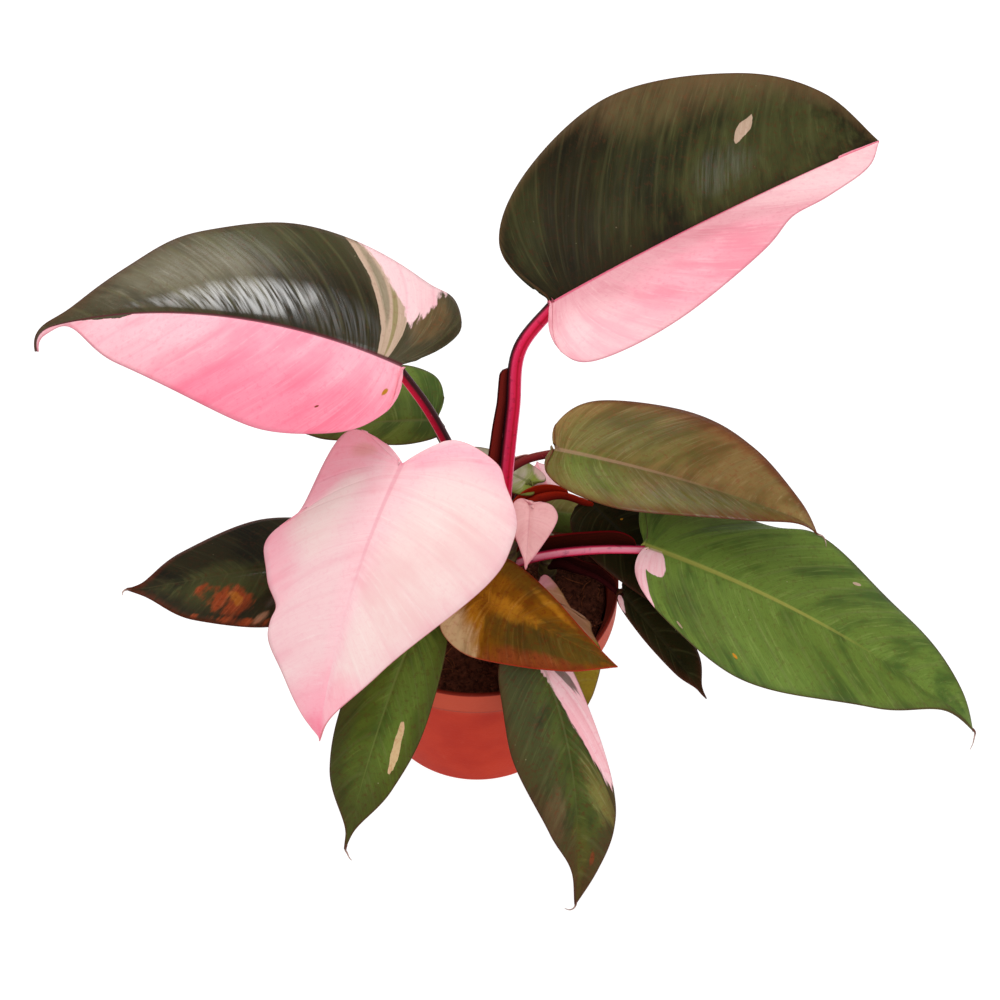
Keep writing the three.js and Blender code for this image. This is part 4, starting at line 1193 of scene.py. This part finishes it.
def soilHeight(x, y):
    away = math.hypot(x, y) / soil["radius"]
    lumps = noise.fractal(Vector((x, y, 3)) * soil["lumpScale"], 1.0, 2.0, 4)
    return soil["edgeHeight"] + soil["crown"] * (1 - away ** 2) + soil["lumps"] * lumps


def makeRootBall():
    # its outline runs from the middle of its underside up the pot's wall and over the soil
    inner = pot["wall"] + soil["gap"]
    low = soil["bottom"]
    edge = wallRadius(soil["edgeHeight"]) - inner - soil["edgeInset"]
    profile = [(0.0, low), (20, low), (wallRadius(low) - inner - 2, low)]
    profile += [(wallRadius(height) - inner, height) for height in (low + 2, 40, 70)]
    profile += [(edge * (1 - index / soil["rings"]), None) for index in range(soil["rings"] + 1)]
    columns = len(profile) - 1

    def placeOf(share, turn):
        radius, height = profile[round(share * columns)]
        angle = 2 * math.pi * turn
        x, y = radius * math.cos(angle), radius * math.sin(angle)
        return Vector((x, y, soilHeight(x, y) if height is None else height)) * mm

    return layGrid("root_ball", columns, soil["sides"], placeOf)


def scatter(count, seed):
    # places on the soil, clear of the stems
    random.seed(seed)
    found = []
    feet = [(stem["foot"], stem["radius"]) for stem in stems.values()]
    while len(found) < count:
        radius = soil["spread"] * math.sqrt(random.random())
        angle = random.uniform(0, 2 * math.pi)
        x, y = radius * math.cos(angle), radius * math.sin(angle)
        if all(math.dist((x, y), foot) > reach for foot, reach in feet):
            found.append((x, y))
    return found


crumb = {"size": (0.35, 1.0), "growth": (1, 1, 1.8), "squash": (0.5, 1.3), "rise": 0.2,
         "rough": 0.5}


def makeCrumbs():
    # one faceted pebble, set down many times with its own size, squash and turn
    bpy.ops.object.select_all(action="DESELECT")
    bpy.ops.mesh.primitive_ico_sphere_add(subdivisions=1, radius=1)
    piece = bpy.context.object
    piece.name = "soil_crumbs"
    mesh = piece.data
    shape = [corner.co.copy() for corner in mesh.vertices]
    sides = [list(face.vertices) for face in mesh.polygons]
    corners, faces = [], []
    for x, y in scatter(soil["crumbs"], soil["seed"]):
        size = random.uniform(*crumb["size"]) * random.choice(crumb["growth"])
        squash = Vector([random.uniform(*crumb["squash"]) for axis in range(3)])
        spin = Matrix.Rotation(random.uniform(0, 6.3), 3, Vector((random.random(), 1, 0.3)))
        middle = Vector((x, y, soilHeight(x, y) + size * crumb["rise"]))
        faces += [[len(corners) + index for index in side] for side in sides]
        for corner in shape:
            rough = size * (1 + crumb["rough"] * noise.noise(corner * 1.3 + middle))
            corners.append((middle + spin @ (corner * squash * rough)) * mm)
    mesh.clear_geometry()
    mesh.from_pydata(corners, [], faces)
    return piece


# loose fibres on the soil, and one thicker root; lengths in mm
fibre = {"points": 4, "height": (0.2, 1.4), "stride": (1.5, 3.5), "wander": 0.7,
         "thick": (0.12, 0.28), "rootThick": 0.3,
         "root": [(-15, -39, 82.5), (-10, -35, 86), (-5, -31, 87), (-1, -28, 84)]}


def makeFibres():
    pieces = []
    for x, y in scatter(soil["fibres"], soil["seed"] + 1):
        heading = random.uniform(0, 2 * math.pi)
        points = []
        for step in range(fibre["points"]):
            points.append((x, y, soilHeight(x, y) + random.uniform(*fibre["height"])))
            x += random.uniform(*fibre["stride"]) * math.cos(heading)
            y += random.uniform(*fibre["stride"]) * math.sin(heading)
            heading += random.uniform(-fibre["wander"], fibre["wander"])
        if max(math.hypot(px, py) for px, py, pz in points) > soil["radius"]:
            continue
        thick = random.uniform(*fibre["thick"])
        pieces.append(sweep("fibre", points, lambda share, turn: thick, columns=8, around=4))
    pieces.append(sweep("root", fibre["root"], lambda share, turn: fibre["rootThick"],
                        columns=16, around=6))
    return joined(pieces, "soil_fibres")


def makeSoilPaint(name):
    *tones, scale = soilLooks[name]
    deep, base, pale = [tone(*rgb) for rgb in tones]
    paint = Paint(name)
    grains = paint.noise(paint.place(), scale, 6.0, 0.7)
    colour = paint.mix(grains.rise(0.35, 0.6), deep, base)
    colour = paint.mix(grains.rise(0.62, 0.75), colour, pale)
    return paint.finish(colour, 0.85, grains, 0.001, 0.08)


def potRings():
    # radius and height, from the edge of the base up to the lip and down again inside
    rim, top, wall, foot = pot["rim"], pot["height"], pot["wall"], pot["footRound"]
    rings = [(pot["base"] - foot / 3, foot / 8), (pot["base"], foot / 2), (wallRadius(foot), foot)]
    collarFoot = top - pot["collar"]
    rings += [(wallRadius(collarFoot * share), collarFoot * share) for share in (0.25, 0.5, 0.75, 1)]
    # the collar steps out with a rounded edge and leans out a little up to the lip
    rings += [(wallRadius(collarFoot) + 0.35, collarFoot + 0.1), (rim - 0.75, collarFoot + 0.4),
              (rim - 0.4, collarFoot + 0.8), (rim - 0.25, collarFoot + 2),
              (rim - 0.1, top - 2.4), (rim, top - 1.6)]
    lip, lipInside, inside = pot["lip"], pot["lipInside"], rim - wall
    turns = [index / 6 * math.pi / 2 for index in range(6)]
    rings += [(rim - lip * (1 - math.cos(turn)), top - lip * (1 - math.sin(turn)))
              for turn in turns]
    rings += [(inside + lipInside * (1 - math.sin(turn)), top - lipInside * (1 - math.cos(turn)))
              for turn in turns]
    ledge, floor = pot["ledge"], pot["floor"]
    rings += [(inside, top - 3), (inside, ledge + pot["collarStep"])]
    rings += [(wallRadius(height) - wall, height) for height in (ledge, 40, floor + 3)]
    return rings + [(wallRadius(floor) - wall - 2, floor)]


def makePot():
    # a disc at the base, drawn out ring by ring
    bpy.ops.object.select_all(action="DESELECT")
    radius, height = pot["base"] - pot["footRound"], 0.0
    bpy.ops.mesh.primitive_circle_add(
        vertices=pot["sides"], radius=radius * mm, fill_type="NGON")
    piece = bpy.context.object
    bpy.ops.object.mode_set(mode="EDIT")
    bpy.ops.mesh.select_all(action="SELECT")
    bpy.ops.mesh.normals_make_consistent(inside=False)
    for nextRadius, nextHeight in potRings():
        rise = (0, 0, (nextHeight - height) * mm)
        bpy.ops.mesh.extrude_region_move(TRANSFORM_OT_translate={"value": rise})
        grow = nextRadius / radius
        bpy.ops.transform.resize(value=(grow, grow, 1), center_override=(0, 0, 0))
        radius, height = nextRadius, nextHeight
    bpy.ops.mesh.select_all(action="SELECT")
    bpy.ops.mesh.normals_make_consistent(inside=False)
    bpy.ops.object.mode_set(mode="OBJECT")
    for index in range(pot["holes"]):
        angle = index / pot["holes"] * 2 * math.pi
        away = pot["holeCircle"] * mm
        place = (away * math.cos(angle), away * math.sin(angle), 0)
        bpy.ops.mesh.primitive_cylinder_add(
            vertices=40, radius=pot["holeRadius"] * mm, depth=0.02, location=place)
        drill = bpy.context.object
        applied(piece, "BOOLEAN", operation="DIFFERENCE", object=drill, solver="EXACT")
        bpy.data.objects.remove(drill)
    joined([piece], "nursery_pot")
    bpy.ops.object.shade_smooth_by_angle(angle=math.radians(50))
    return piece


def makePotPaint():
    paint = Paint("potPlastic")
    place = paint.place()
    x, y, height = [paint.add("ShaderNodeSeparateXYZ", None, [place], side) for side in range(3)]
    top, rim, lip = pot["height"] * mm, pot["rim"] * mm, pot["lip"] * mm
    collarFoot = top - pot["collar"] * mm
    clouds = paint.noise(place, 60, 3.0)
    grain = paint.noise(place, 900, 3.0)
    deep, base = [tone(*rgb) for rgb in pot["tones"]]
    colour = paint.mix(clouds.rise(0.3, 0.7), deep, base)
    # painted reflection: the collar band, and the wall just below it, are painted paler
    collarSheen = height.rise(collarFoot - 10 * mm, collarFoot)
    colour = paint.mix(collarSheen * 0.7, colour, tone(*pot["paler"]))
    # painted shade: the collar's rounded underside, where it steps out, is darkened with the step tone
    step = height.rise(collarFoot - 0.3 * mm, collarFoot - 0.1 * mm)
    step = step * height.rise(collarFoot + 2.4 * mm, collarFoot + 1 * mm)
    colour = paint.mix(step, colour, tone(*pot["step"]))
    # painted shade: the top of the rim and its lip are darkened
    lipShade = height.rise(top - 2 * lip, top - lip)
    colour = paint.mix(lipShade * 0.9, colour, tone(*pot["lipTone"]))
    # painted shade: the inner wall above the collar's foot is darkened
    across = (x * x + y * y).math("SQRT")
    inside = across.rise(rim - 0.6 * mm, rim - 1 * mm)
    inside = inside * height.rise(collarFoot - 0.5 * mm, collarFoot + 0.5 * mm)
    colour = paint.mix(inside, colour, tone(*pot["inside"]))
    dust = paint.noise(place, 220, 5.0, 0.7).rise(0.6, 0.75)
    colour = paint.mix(dust * 0.1, colour, tone(*pot["dust"]))
    return paint.finish(colour, 0.5 + grain * 0.12, grain + clouds, 0.0001, 0.05)


def makeFloor():
    bpy.ops.object.select_all(action="DESELECT")
    bpy.ops.mesh.primitive_plane_add(size=studio["floorSize"])
    floor = bpy.context.object
    floor.name = "floor"
    paint = Paint("floorPaper")
    clouds = paint.noise(paint.place(), 3, 2.0)
    grey, paler = [tone(*rgb) for rgb in studio["floorTones"]]
    colour = paint.mix(clouds, grey, paler)
    paint.shader.inputs["Emission Color"].default_value = (1, 1, 1, 1)
    paint.shader.inputs["Emission Strength"].default_value = studio["floorGlow"]
    floor.data.materials.append(paint.finish(colour, 0.9, None, gloss=0.1))


makeCamera()
makeLights()
makeFloor()
print("camera, lights and floor made")

slots = {subpart["node"]: subpart["material_slot"] for subpart in frame["record"]["subparts"]}
leafSeed, stalkSeed = 5.3, 3.1  # steps between the noises of one leaf and the next
for order, name in enumerate(leaves):
    node = "leaf_" + name
    paints = [make(name, order * leafSeed) for make in (makeTopPaint, makeUnderPaint, makeRimPaint)]
    settle(makeBlade(name, paints), node, slots[node])
    node = "petiole_" + name
    settle(makePetiole(name, order * stalkSeed), node, slots[node])
print("leaves made:", len(leaves))

stemPaint = makeStemPaint()
for name in stems:
    settle(makeStem(name), "stem_" + name, "stem_skin", stemPaint)
print("stems made")

settle(makeRootBall(), "root_ball", "peat", makeSoilPaint("peatGround"))
settle(makeCrumbs(), None, "peat", makeSoilPaint("peatCrumbs"))
settle(makeFibres(), None, "peat", makeSoilPaint("peatFibres"))
settle(makePot(), "pot", "pot_plastic", makePotPaint())
print("soil and pot made")
